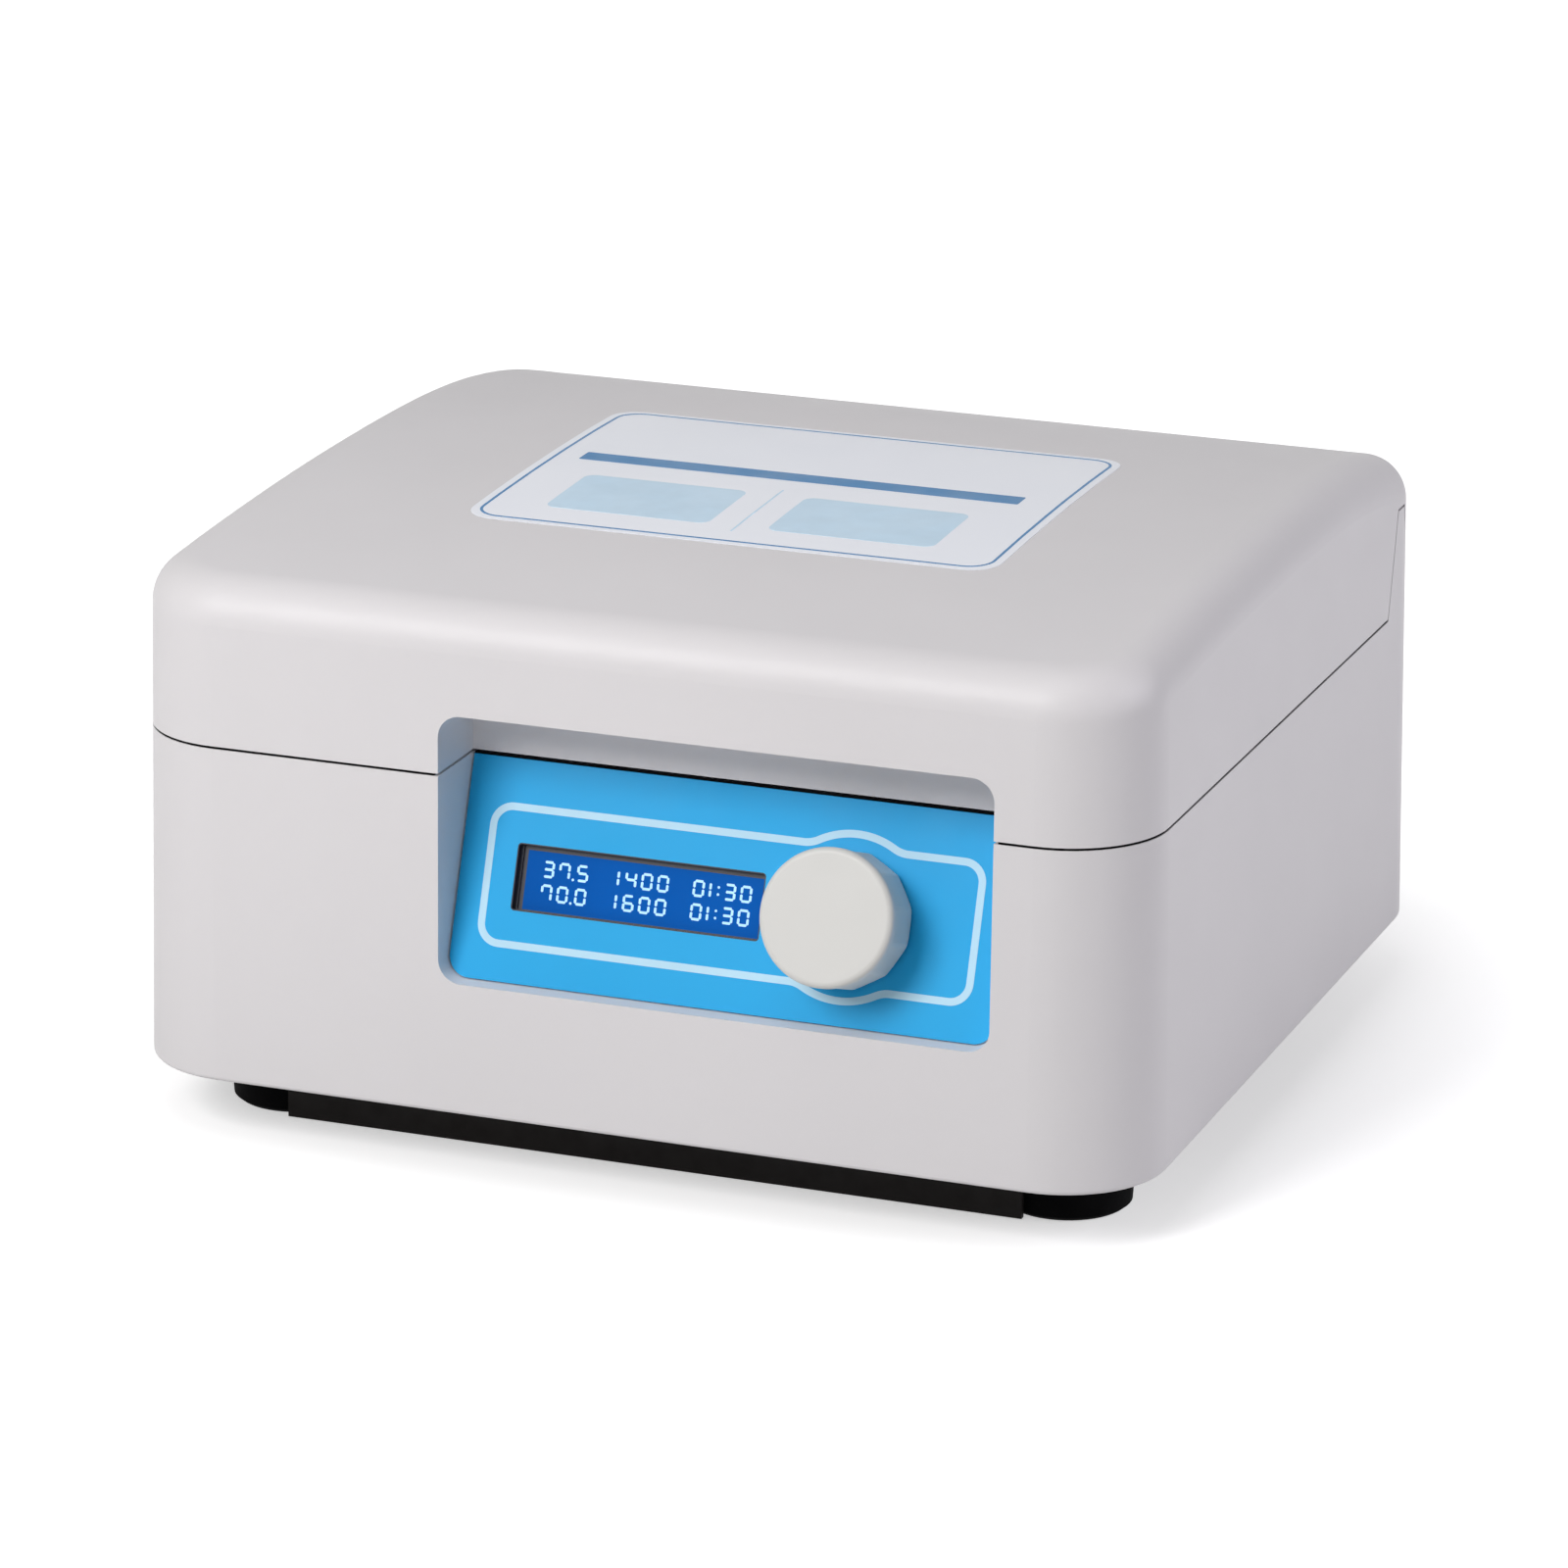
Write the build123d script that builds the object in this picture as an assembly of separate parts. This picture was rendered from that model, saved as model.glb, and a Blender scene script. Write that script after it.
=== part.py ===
from build123d import *
from math import cos, sin, tan, radians, pi
import os

# Thermal mixer for two microplates: a drafted plastic housing with a crowned, hinged lid,
# a sloped control panel with a display and one knob, and a heated platform that is driven
# in a small circle. Millimetres. +X is the user's right, +Y the rear, +Z up. Heights are
# above the bench; along Y the values below run from the housing's middle, and place() at
# the end moves the whole so that the origin lies under the middle of its overall length.

# ---------------------------------------------------------------- housing and lid
body_width = 273.0        # across the foot of the walls
body_depth = 262.0
corner_radius = 27.5      # plan corners at the foot of the walls
draft = 1.0               # degrees, walls lean in going up
foot_height = 17.0        # underside of the housing above the bench
seam_height = 105.7       # parting line between the housing and the lid
seam_gap = 0.7            # between the housing's rim and the lid's rim
wall = 2.8                # housing and lid wall
foot_edge_radius = 1.2    # outer bottom edge of the housing

hinge_y = body_depth / 2 - 15.0     # lid hinge axis, parallel to X
hinge_z = 134.0
nose_radius = 10.0        # lid's rear edge, concentric with the hinge
nose_gap = 0.6            # running gap between that edge and the housing's cove
nose_end = 25.0           # degrees below horizontal where the lid's rear edge stops
nose_slope = 17.0         # degrees the lid falls where it runs into the rear edge
seam_rear_y = hinge_y - 25.0        # where the parting line turns up
slant_top_y = hinge_y - 16.3        # its upper end, at the height of the hinge axis

crown_height = 154.6      # highest line of the lid
crown_y = hinge_y - 92.0
front_height = 148.0      # lid surface where it would meet the front wall
shoulder_y = hinge_y - 30.0         # where the lid turns down towards the hinge
shoulder_height = 150.7
lid_edge_radius = 12.0    # round all along the lid's top edge

# ---------------------------------------------------------------- recess and panel
recess_left = -47.2
recess_right = 98.8
recess_floor = 51.6
recess_top = 121.4
recess_corner = 6.0
ledge_depth = 4.6         # from the front wall to the foot of the panel
panel_tilt = 19.4         # degrees from vertical
overlay = 0.8             # printed panel overlay
overlay_margin = 0.4
panel_wall = 2.6
display_x = 1.2
display_z = 77.2
window_width = 66.5
window_height = 17.1
knob_x = 56.7
knob_s = -0.4             # knob axis above the middle of the display, along the slope

# ---------------------------------------------------------------- chamber and platform
chamber_y = 1.0
chamber_width = 200.0
chamber_length = 154.0
chamber_corner = 8.0
deck_top = 102.7
deck = 2.5
tray_sheet = 1.2
tray_floor = 67.0
plate_length = 127.76     # standard microplate footprint, long side along Y
plate_width = 85.48
plate_clearance = 0.45
nest_floor = 87.0
nest_rim = 5.0
platform_bottom = 75.0
platform_side = 5.0       # rim outside the nests
platform_mid = 6.2        # rim between the nests
clamp_zone = 9.6          # rear rim, with the spring clamps
orbit_radius = 1.5

# ---------------------------------------------------------------- drive
pan_sheet = 1.5
mech_bottom = 39.0
mech_plate = 6.0
carrier_bottom = 57.0
carrier_plate = 6.0
shaft_radius = 5.0
pin_radius = 3.0
bearing_outer = 11.0
idler_bearing_outer = 6.5
running_fit = 0.05
idler_dx = 66.0
idler_dy = 44.0

FAR = 400.0
tan_draft = tan(radians(draft))
recess_mid = (recess_left + recess_right) / 2


def lean(z):
    """How far the drafted wall has come in at height z."""
    return (z - foot_height) * tan_draft


def front_wall(z):
    return -body_depth / 2 + lean(z)


def rear_wall(z):
    return body_depth / 2 - lean(z)


def tower(low, high, inset=0.0):
    """Drafted prism with the housing's outline, inset from its outer surface."""
    shift = 2 * (lean(low) + inset)
    outline = RectangleRounded(body_width - shift, body_depth - shift, corner_radius - shift / 2)
    return extrude(Pos(0, 0, low) * outline, amount=high - low, taper=draft)


def across(wire_or_points, half_width=FAR / 2):
    """Prism along X from a closed side view, given as (y, z) points or as a face."""
    face = wire_or_points
    if isinstance(face, list):
        face = make_face(Polyline([(y, z) for y, z in face], close=True))
    return extrude(Plane.YZ * face, amount=half_width, both=True)


def block(x0, x1, y0, y1, z0, z1):
    return Pos((x0 + x1) / 2, (y0 + y1) / 2, (z0 + z1) / 2) * Box(x1 - x0, y1 - y0, z1 - z0)


def plate(width, length, corner, low, high, x=0.0, y=0.0):
    """Flat piece with rounded plan corners between two heights."""
    return extrude(Pos(x, y, low) * RectangleRounded(width, length, corner), amount=high - low)


def post(x, y, low, high, radius, bore=0.0):
    body = Pos(x, y, (low + high) / 2) * Cylinder(radius, high - low)
    if bore:
        body -= Pos(x, y, (low + high) / 2) * Cylinder(bore, high - low + 2)
    return body


def rod_x(x0, x1, y, z, radius):
    return Pos((x0 + x1) / 2, y, z) * Rot(0, 90, 0) * Cylinder(radius, x1 - x0)


def rod_y(x, y0, y1, z, radius):
    return Pos(x, (y0 + y1) / 2, z) * Rot(90, 0, 0) * Cylinder(radius, y1 - y0)


def group(pieces):
    """Identical loose pieces that share one file."""
    return Compound([solid for piece in pieces for solid in piece.solids()])


# ---------------------------------------------------------------- shared outlines
panel_slope = tan(radians(panel_tilt))
panel_foot_y = front_wall(recess_floor) + ledge_depth


def panel_y(z):
    """Depth of the overlay's front surface at height z."""
    return panel_foot_y + (z - recess_floor) * panel_slope


panel = Plane(
    origin=(0, panel_y(display_z), display_z),
    x_dir=(1, 0, 0),
    z_dir=(0, -cos(radians(panel_tilt)), sin(radians(panel_tilt))),
)


def behind_panel(depth):
    """Everything behind the plane that lies depth under the overlay's front surface."""
    low_z, high_z = foot_height - 50, 300
    shift = depth / cos(radians(panel_tilt))
    return across([
        (panel_y(low_z) + shift, low_z), (FAR, low_z),
        (FAR, high_z), (panel_y(high_z) + shift, high_z),
    ])


def recess_prism(grow, low_y=-FAR / 2, high_y=FAR / 2):
    """Rounded window of the front recess, seen from the front and run along Y."""
    width = recess_right - recess_left + 2 * grow
    height = recess_top - recess_floor + 2 * grow
    outline = Plane.XZ * RectangleRounded(width, height, recess_corner + grow)
    mid_z = (recess_floor + recess_top) / 2
    slab = extrude(outline, amount=(high_y - low_y) / 2, both=True)
    return Pos(recess_mid, (low_y + high_y) / 2, mid_z) * slab


grip_back_y = panel_y(seam_height)        # the lid's grip pocket ends flush with the panel


def base_side(gap):
    """Side view of the space under the parting line, lowered by gap."""
    return [
        (-FAR / 2, -FAR / 2), (-FAR / 2, seam_height - gap), (seam_rear_y, seam_height - gap),
        (slant_top_y, hinge_z - gap), (FAR / 2, hinge_z - gap), (FAR / 2, -FAR / 2),
    ]


def crown_face(drop, rear_y):
    """Side view of everything under the lid's crowned top, lowered by drop."""
    nose_y = hinge_y + nose_radius * sin(radians(nose_slope))
    nose_z = hinge_z + nose_radius * cos(radians(nose_slope))
    front_y = -body_depth / 2
    crown = Spline(
        (front_y, front_height - drop), (crown_y, crown_height - drop),
        (shoulder_y, shoulder_height - drop), (nose_y, nose_z - drop),
        tangents=[(1, 0.09), (cos(radians(nose_slope)), -sin(radians(nose_slope)))],
    )
    tail = (rear_y, nose_z - drop - (rear_y - nose_y) * tan(radians(nose_slope)))
    floor_z = seam_height - 60
    outline = crown + Polyline(
        (nose_y, nose_z - drop), tail, (rear_y, floor_z), (front_y, floor_z),
        (front_y, front_height - drop),
    )
    return make_face(outline)


def crowned_block(inset):
    """Lid block with its crowned top and rounded top edge, inset from the outside."""
    rear_y = body_depth / 2
    raw = tower(seam_height - 30, crown_height + 20, inset) & across(crown_face(inset, rear_y))
    low = seam_height
    top_edges = raw.edges().filter_by(lambda e: e.bounding_box().min.Z > low
                                      and e.bounding_box().size.X + e.bounding_box().size.Y > 3)
    return fillet(top_edges, lid_edge_radius - inset)


def lid_side(inset):
    """Side view of the lid's own space over the housing: front part, cheek and nose."""
    reach = nose_radius - inset
    over = seam_gap / 2 + inset
    slant = (slant_top_y - seam_rear_y) / (hinge_z - seam_height)
    shift = over * (1 + slant ** 2) ** 0.5
    low_z = seam_height + seam_gap / 2
    high_z = hinge_z + seam_gap / 2
    front = across([
        (-FAR / 2, low_z), (seam_rear_y + (low_z - seam_height) * slant - shift, low_z),
        (slant_top_y + (high_z - hinge_z) * slant - shift, high_z),
        (hinge_y, high_z), (hinge_y + FAR / 2 * tan(radians(nose_slope)), high_z + FAR / 2),
        (-FAR / 2, high_z + FAR / 2),
    ])
    nose = rod_x(-FAR / 2, FAR / 2, hinge_y, hinge_z, reach)
    nose &= across([
        (hinge_y, FAR / 2), (FAR / 2, FAR / 2),
        (FAR / 2, hinge_z - nose_radius * sin(radians(nose_end))),
        (hinge_y, hinge_z - nose_radius * sin(radians(nose_end))),
    ])
    return front, nose


# ---------------------------------------------------------------- housing
boss_radius = 5.0
screw_radius = 1.75
pan_boss_x = body_width / 2 - 14.5
pan_boss_y = 60.0
lug_x = 70.0              # middle of each hinge lug
lug_width = 8.0
lug_radius = 6.2
web_width = 4.0           # lid hinge webs, one each side of a lug
web_gap = 0.5
hinge_pin_radius = 3.0
bush_radius = 4.4
rear_half = body_width / 2 - 32.5
rear_opening = (-rear_half, rear_half, 33.0, 89.0)   # x0, x1, z0, z1 of the rear window
rear_panel_y = body_depth / 2 - 4.8      # rear face of the metal rear panel
rear_panel_sheet = 1.5
deck_front = grip_back_y + panel_wall


def rear_frame(grow):
    x0, x1, z0, z1 = rear_opening
    outline = Plane.XZ * RectangleRounded(x1 - x0 + 2 * grow, z1 - z0 + 2 * grow, 5 + grow)
    return Pos((x0 + x1) / 2, rear_panel_y, (z0 + z1) / 2) * extrude(outline, amount=-20)


def window(width, height, corner, x, s, low, high):
    """Prism square to the panel, around a point on it."""
    outline = Pos(x, s, low) * RectangleRounded(width, height, corner)
    return panel * extrude(outline, amount=high - low)


def knob_axis(radius, low, high):
    return panel * Pos(knob_x, knob_s, (low + high) / 2) * Cylinder(radius, high - low)


display_frame_size = (71.2, 24.2)
display_seat = 2.0        # display frame's front face under the overlay's surface
encoder_bush_radius = 4.45
panel_rim = 1.0           # panel wall's upper edge under the parting line, inside the recess
overlay_rim = 0.75        # printed overlay's upper edge under the parting line


def make_housing():
    envelope = tower(foot_height, hinge_z + 5) & across(base_side(seam_gap / 2))
    envelope -= rod_x(-FAR / 2, FAR / 2, hinge_y, hinge_z, nose_radius + nose_gap)
    foot_edges = envelope.edges().filter_by(
        lambda e: e.bounding_box().max.Z < foot_height + 0.01)
    envelope = fillet(foot_edges, foot_edge_radius)

    hollow = tower(foot_height - 1, hinge_z, wall)
    hollow &= across([
        (-FAR / 2, -FAR / 2), (-FAR / 2, deck_top - deck), (seam_rear_y + wall, deck_top - deck),
        (seam_rear_y + wall, seam_height - wall / 2), (slant_top_y + wall, hinge_z - wall),
        (FAR / 2, hinge_z - wall), (FAR / 2, -FAR / 2),
    ])
    hollow -= rod_x(-FAR / 2, FAR / 2, hinge_y, hinge_z, nose_radius + nose_gap + wall)
    hollow -= recess_prism(wall, -FAR / 2, 0) - behind_panel(overlay + panel_wall)
    body = envelope - hollow

    # open space over the deck, inside the rim
    rim = tower(deck_top, hinge_z, wall) & across([
        (-FAR / 2, deck_top), (seam_rear_y, deck_top), (seam_rear_y, seam_height),
        (-FAR / 2, seam_height),
    ])
    rim -= recess_prism(wall, -FAR / 2, 0) - behind_panel(overlay + panel_wall)
    body -= rim

    # recess in front of the panel, and a lowered rim at the panel's head
    body -= recess_prism(0, -FAR / 2, 0) - behind_panel(overlay)
    body -= recess_prism(0, -FAR / 2, 0) & block(-FAR, FAR, -FAR, FAR,
                                                 seam_height - panel_rim, FAR)

    # chamber opening, with a step for the tray's flange
    body -= plate(chamber_width + 2 * tray_sheet, chamber_length + 2 * tray_sheet,
                  chamber_corner + tray_sheet, deck_top - deck - 1, deck_top + 1, 0, chamber_y)

    # display window with a pocket behind it, and the knob's hole
    body -= window(window_width, window_height, 1.0, display_x, 0, -10, 1)
    fw, fh = display_frame_size
    body -= window(fw + 0.6, fh + 0.6, 0.8, display_x, 0, -10, -display_seat)
    body -= knob_axis(encoder_bush_radius + 0.15, -10, 1)

    # window in the rear wall, with a flat frame that the rear panel seats on
    pad = rear_frame(6) & tower(foot_height + 2, seam_height, 0.5)
    body += pad
    body -= Pos(0, -10, 0) * rear_frame(0)

    # screw bosses for the bottom pan, from the deck down
    for sx in (-1, 1):
        for sy in (-1, 1):
            boss = post(sx * pan_boss_x, sy * pan_boss_y, foot_height + pan_sheet,
                        deck_top - deck, boss_radius)
            body += boss
            body -= post(sx * pan_boss_x, sy * pan_boss_y, foot_height, foot_height + 18,
                         screw_radius)

    # hinge lugs standing in the cove
    for sx in (-1, 1):
        x0 = sx * lug_x - lug_width / 2
        x1 = sx * lug_x + lug_width / 2
        lug = rod_x(x0, x1, hinge_y, hinge_z, lug_radius)
        lug += block(x0, x1, slant_top_y + 1, hinge_y, hinge_z - lug_radius + 1,
                     hinge_z - seam_gap / 2)
        body += lug
        body -= rod_x(x0 - 1, x1 + 1, hinge_y, hinge_z, hinge_pin_radius)
    return body


# ---------------------------------------------------------------- lid
end_wall = 4.0            # closes the nose at each side
lid_boss_front_y = 23.0 - body_depth / 2
lid_boss_rear_y = seam_rear_y - 15.0
lid_boss_x = body_width / 2 - 18.5
lid_boss_mid_x = body_width / 2 - 14.5
lid_boss_radius = 4.5
lid_boss = [(sx * x, y) for x, y in ((lid_boss_x, lid_boss_front_y), (lid_boss_mid_x, 0.0),
                                     (lid_boss_x, lid_boss_rear_y)) for sx in (-1, 1)]
liner_bottom = seam_height + 0.9
liner_sheet = 2.0
liner_depth = 20.0        # chamber recess in the lid
liner_width = chamber_width - 4.0
liner_length = chamber_length - 4.0


def make_lid():
    front, nose = lid_side(0)
    outer = crowned_block(0)
    inner = crowned_block(wall)
    nose_in = lid_side(wall)[1]

    # the shell stops at the parting line in front, and behind the slanted wall at the cheeks
    body = outer & (front + nose)
    slant = (slant_top_y - seam_rear_y) / (hinge_z - seam_height)
    back = slant_top_y + seam_gap
    over = (seam_gap / 2 + wall) * (1 + slant ** 2) ** 0.5
    room = across([
        (-FAR / 2, seam_height - 20),
        (seam_rear_y - 20 * slant - over, seam_height - 20),
        (slant_top_y + 20 * slant - over, hinge_z + 20),
        (-FAR / 2, hinge_z + 20),
    ]) & inner
    rear_room = across([
        (back + wall * 0.6, hinge_z - 5), (hinge_y, hinge_z - 5), (hinge_y, FAR / 2),
        (back + wall * 0.6, FAR / 2),
    ]) & inner
    rear_room += (nose_in + rod_x(-FAR / 2, FAR / 2, hinge_y, hinge_z, nose_radius - wall)) & inner
    webs = []
    for sx in (-1, 1):
        for side in (-1, 1):
            mid = sx * lug_x + side * (lug_width / 2 + web_gap + web_width / 2)
            webs.append(block(mid - web_width / 2, mid + web_width / 2,
                              back, hinge_y + nose_radius, hinge_z - nose_radius, FAR / 2))
    for web in webs:
        rear_room -= web
    body -= room
    body -= rear_room
    ends = rod_x(-FAR / 2, FAR / 2, hinge_y, hinge_z, nose_radius)
    body += ends & (outer - tower(seam_height - 31, FAR, end_wall))
    for web in webs:
        box = web.bounding_box()
        eye = rod_x(box.min.X, box.max.X, hinge_y, hinge_z, lug_radius)
        body += eye
        body -= rod_x(box.min.X - 1, box.max.X + 1, hinge_y, hinge_z, bush_radius)

    # grip pocket over the panel
    pocket_wall = recess_prism(wall, -FAR / 2, grip_back_y + wall) & outer & (front + nose)
    body += pocket_wall
    body -= recess_prism(0, -FAR / 2, grip_back_y)

    # screw bosses for the liner
    for x, y in lid_boss:
        boss = post(x, y, liner_bottom + liner_sheet, crown_height, lid_boss_radius) & inner
        body += boss
        body -= post(x, y, liner_bottom, liner_bottom + 14, screw_radius)
    return body


def make_liner():
    """Formed tray that closes the lid from below, with a recess over the chamber."""
    rear = seam_rear_y - wall - 2.2
    sheet = tower(liner_bottom, liner_bottom + liner_sheet, wall + 0.3)
    sheet &= block(-FAR, FAR, -FAR, rear, 0, FAR)
    sheet -= recess_prism(wall + 0.3, -FAR / 2, grip_back_y + wall + 0.3)
    top = liner_bottom + liner_depth
    outer = extrude(
        Pos(0, chamber_y, liner_bottom) * RectangleRounded(liner_width, liner_length, 10),
        amount=liner_depth, taper=3)
    inner = extrude(
        Pos(0, chamber_y, liner_bottom - 0.5) * RectangleRounded(
            liner_width - 2 * liner_sheet, liner_length - 2 * liner_sheet, 10 - liner_sheet),
        amount=liner_depth - liner_sheet + 0.5, taper=3)
    body = sheet + outer - inner
    for x, y in lid_boss:
        body -= post(x, y, liner_bottom - 1, top, screw_radius + 0.3)
        body -= post(x, y, liner_bottom - 1, liner_bottom + 0.6, 3.6)
    return body


heater_width = liner_width - 20.0
heater_length = liner_length - 20.0
heater_sheet = 4.0
heater_gap = 3.0          # insulation between the heater plate and the liner's ceiling


def make_lid_heater():
    top = liner_bottom + liner_depth - liner_sheet - heater_gap
    body = plate(heater_width, heater_length, 6, top - heater_sheet, top, 0, chamber_y)
    return chamfer(body.faces().sort_by(Axis.Z)[0].edges(), 0.8)


def make_lid_insulation():
    top = liner_bottom + liner_depth - liner_sheet
    return plate(heater_width - 6, heater_length - 6, 4, top - heater_gap, top, 0, chamber_y)


def make_lid_foam():
    """Foam block between the liner's recess and the lid's skin."""
    low = liner_bottom + liner_depth
    return plate(liner_width - 20, liner_length - 20, 6, low, low + 15, 0, chamber_y)


gasket_outer = (chamber_width + 16.0, chamber_length + 15.0)
gasket_inner = (chamber_width + 7.0, chamber_length + 7.0)


def make_gasket():
    """Silicone frame under the lid that closes on the deck around the chamber."""
    low = deck_top + 0.3
    ow, ol = gasket_outer
    iw, il = gasket_inner
    body = plate(ow, ol, 10, low, liner_bottom, 0, chamber_y)
    body -= plate(iw, il, 6, low - 1, liner_bottom + 1, 0, chamber_y)
    return body


def screw(x, y, seat, length, radius, head_radius, head, up=True):
    """Pan-head screw with a hex socket; the thread runs up from the seat, or down."""
    way = 1 if up else -1
    shank = post(x, y, min(seat, seat + way * length), max(seat, seat + way * length), radius)
    cap = post(x, y, min(seat, seat - way * head), max(seat, seat - way * head), head_radius)
    body = shank + cap
    socket = Pos(x, y, seat - way * head) * extrude(RegularPolygon(head_radius * 0.5, 6),
                                                    amount=way * head * 0.6)
    return body - socket


def make_lid_screws():
    seat = liner_bottom + 0.6
    return group(screw(x, y, seat, 12, screw_radius, 3.3, 0.6 + 1.2) for x, y in lid_boss)


# ---------------------------------------------------------------- hinge
pin_half = lug_width / 2 + web_gap + web_width + 1.5


def make_hinge_pins():
    return group(rod_x(sx * lug_x - pin_half, sx * lug_x + pin_half, hinge_y, hinge_z,
                       hinge_pin_radius) for sx in (-1, 1))


def make_hinge_bushes():
    pieces = []
    for sx in (-1, 1):
        for side in (-1, 1):
            x0 = sx * lug_x + side * (lug_width / 2 + web_gap)
            x1 = x0 + side * web_width
            low, high = min(x0, x1), max(x0, x1)
            bush = rod_x(low, high, hinge_y, hinge_z, bush_radius)
            pieces.append(bush - rod_x(low - 1, high + 1, hinge_y, hinge_z,
                                       hinge_pin_radius + running_fit))
    return group(pieces)


# ---------------------------------------------------------------- control panel
def make_overlay():
    slab = recess_prism(-overlay_margin, -FAR / 2, 0)
    body = slab & (behind_panel(0) - behind_panel(overlay))
    body &= block(-FAR, FAR, -FAR, FAR, 0, seam_height - overlay_rim)
    body -= window(window_width, window_height, 1.0, display_x, 0, -5, 5)
    body -= knob_axis(encoder_bush_radius + 0.15, -5, 5)
    return body


frame_depth = 6.0
screen_size = (64.5, 16.4)
glass_sheet = 2.8
glass_seat = display_seat + 0.6           # glass under the overlay's surface
board_size = (80.0, 36.0)
board_hole = 1.3
board_holes = [(dx, ds) for dx in (-37.5, 37.5) for ds in (-15.5, 15.5)]
display_sheet = 1.6
backlight = (67.0, 19.5)
header = (41.0, 2.5)
header_at = (-18.0, 14.8)


def make_display_frame():
    fw, fh = display_frame_size
    sw, sh = screen_size
    front = -display_seat
    body = window(fw, fh, 0.6, display_x, 0, front - frame_depth, front)
    body -= window(sw, sh, 0.5, display_x, 0, front - 2, front + 1)
    body -= window(fw - 3, fh - 3, 0.5, display_x, 0, front - frame_depth - 1, front - 0.6)
    return body


def make_display_glass():
    fw, fh = display_frame_size
    return window(fw - 3.4, fh - 3.4, 0.4, display_x, 0, -glass_seat - glass_sheet, -glass_seat)


def make_display_board():
    """Circuit board behind the display, with its backlight block and a pin header."""
    back = -display_seat - frame_depth
    rear = back - display_sheet
    body = window(*board_size, 0.8, display_x, 0, rear, back)
    body += window(*backlight, 0.4, display_x, 0, back, -glass_seat - glass_sheet)
    body += window(*header, 0.2, display_x + header_at[0], header_at[1], back - 10, rear)
    for dx, ds in board_holes:
        body -= panel * Pos(display_x + dx, ds, back) * Cylinder(board_hole, 8)
    return body


def make_display_spacers():
    top = -(overlay + panel_wall)
    back = -display_seat - frame_depth
    ring = Cylinder(2.6, top - back) - Cylinder(1.2, top - back + 1)
    return group(panel * Pos(display_x + dx, ds, (top + back) / 2) * ring
                 for dx, ds in board_holes)


encoder_depth = 9.0
shaft_r = 3.0
knob_radius = 17.4
knob_low = 0.9            # skirt above the overlay
knob_high = 16.6
knob_flats = 12
flat_depth = 0.5
knob_crown = 3.0          # round part over the flats
push_travel = 0.5
bush_top = 5.0


def make_encoder():
    """Encoder case with its threaded bush; the plunger moves in a chamber at the back."""
    seat = -(overlay + panel_wall)
    body = window(13.4, 12.4, 0.5, knob_x, knob_s, seat - encoder_depth, seat)
    body += knob_axis(encoder_bush_radius, seat, bush_top)
    body -= knob_axis(shaft_r + running_fit, seat - 4, bush_top + 1)
    body -= knob_axis(4.4, seat - encoder_depth + 1.2, seat - 3)
    for dx in (-2.5, 0, 2.5):
        body += window(0.9, 0.6, 0.1, knob_x + dx, knob_s - 5, seat - encoder_depth - 3.5,
                       seat - encoder_depth)
    return body


def make_encoder_nut():
    outline = Pos(knob_x, knob_s, 0) * RegularPolygon(7.0, 6)
    nut = panel * extrude(outline, amount=2.2)
    nut -= knob_axis(encoder_bush_radius, -1, 4)
    return nut


plunger_top = -(overlay + panel_wall) - encoder_depth + 1.2 + 1.8 + push_travel


def make_plunger():
    """Push switch plunger behind the shaft."""
    low = plunger_top - 1.8
    return knob_axis(4.1, low, plunger_top)


def make_knob_shaft():
    return knob_axis(shaft_r, plunger_top, knob_high - 3.5)


def make_knob():
    """Turned-down cap with grip flats under a round crown, hollow over the nut."""
    mid = (knob_low + knob_high) / 2
    cap = Cylinder(knob_radius, knob_high - knob_low)
    top_edge = cap.edges().sort_by(Axis.Z)[-1]
    cap = fillet(top_edge, 1.6)
    low_edge = cap.edges().sort_by(Axis.Z)[0]
    cap = chamfer(low_edge, 0.5)
    cutter = Box(2.0, 12.0, knob_high - knob_low - knob_crown)
    cutter = Pos(knob_radius - flat_depth + 1.0, 0, -knob_crown / 2) * cutter
    for i in range(knob_flats):
        cap -= Rot(0, 0, 360 / knob_flats * i) * cutter
    body = panel * Pos(knob_x, knob_s, mid) * cap
    body -= knob_axis(12.5, knob_low - 1, bush_top + push_travel + 0.6)
    body -= knob_axis(shaft_r, knob_low - 1, knob_high - 3.5)
    return body


# ---------------------------------------------------------------- chamber
standoff = [(x, chamber_y + y) for x in (-78.0, 78.0) for y in (-30.0, 30.0)]
standoff_radius = 6.0
standoff_bore = 1.7
standoff_window = 9.5


def make_tray():
    """Sheet tray that lines the chamber; its flange rests on the deck."""
    outer = plate(chamber_width + 2 * tray_sheet, chamber_length + 2 * tray_sheet,
                  chamber_corner + tray_sheet, tray_floor, deck_top, 0, chamber_y)
    outer += plate(chamber_width + tray_flange, chamber_length + tray_flange,
                   chamber_corner + tray_flange / 2, deck_top, deck_top + 0.8, 0, chamber_y)
    body = outer - plate(chamber_width, chamber_length, chamber_corner,
                         tray_floor + tray_sheet, deck_top + 2, 0, chamber_y)
    for x, y in standoff:
        body -= post(x, y, tray_floor - 1, tray_floor + 3, standoff_window)
    return body


tray_flange = 5.6
foam_wall = 4.0
foam_low = 70.0
foam_high = 97.0


def make_chamber_foam():
    ow = chamber_width + 2 * tray_sheet
    ol = chamber_length + 2 * tray_sheet
    corner = chamber_corner + tray_sheet
    body = plate(ow + 2 * foam_wall, ol + 2 * foam_wall, corner + foam_wall,
                 foam_low, foam_high, 0, chamber_y)
    return body - plate(ow, ol, corner, foam_low - 1, foam_high + 1, 0, chamber_y)


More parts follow.
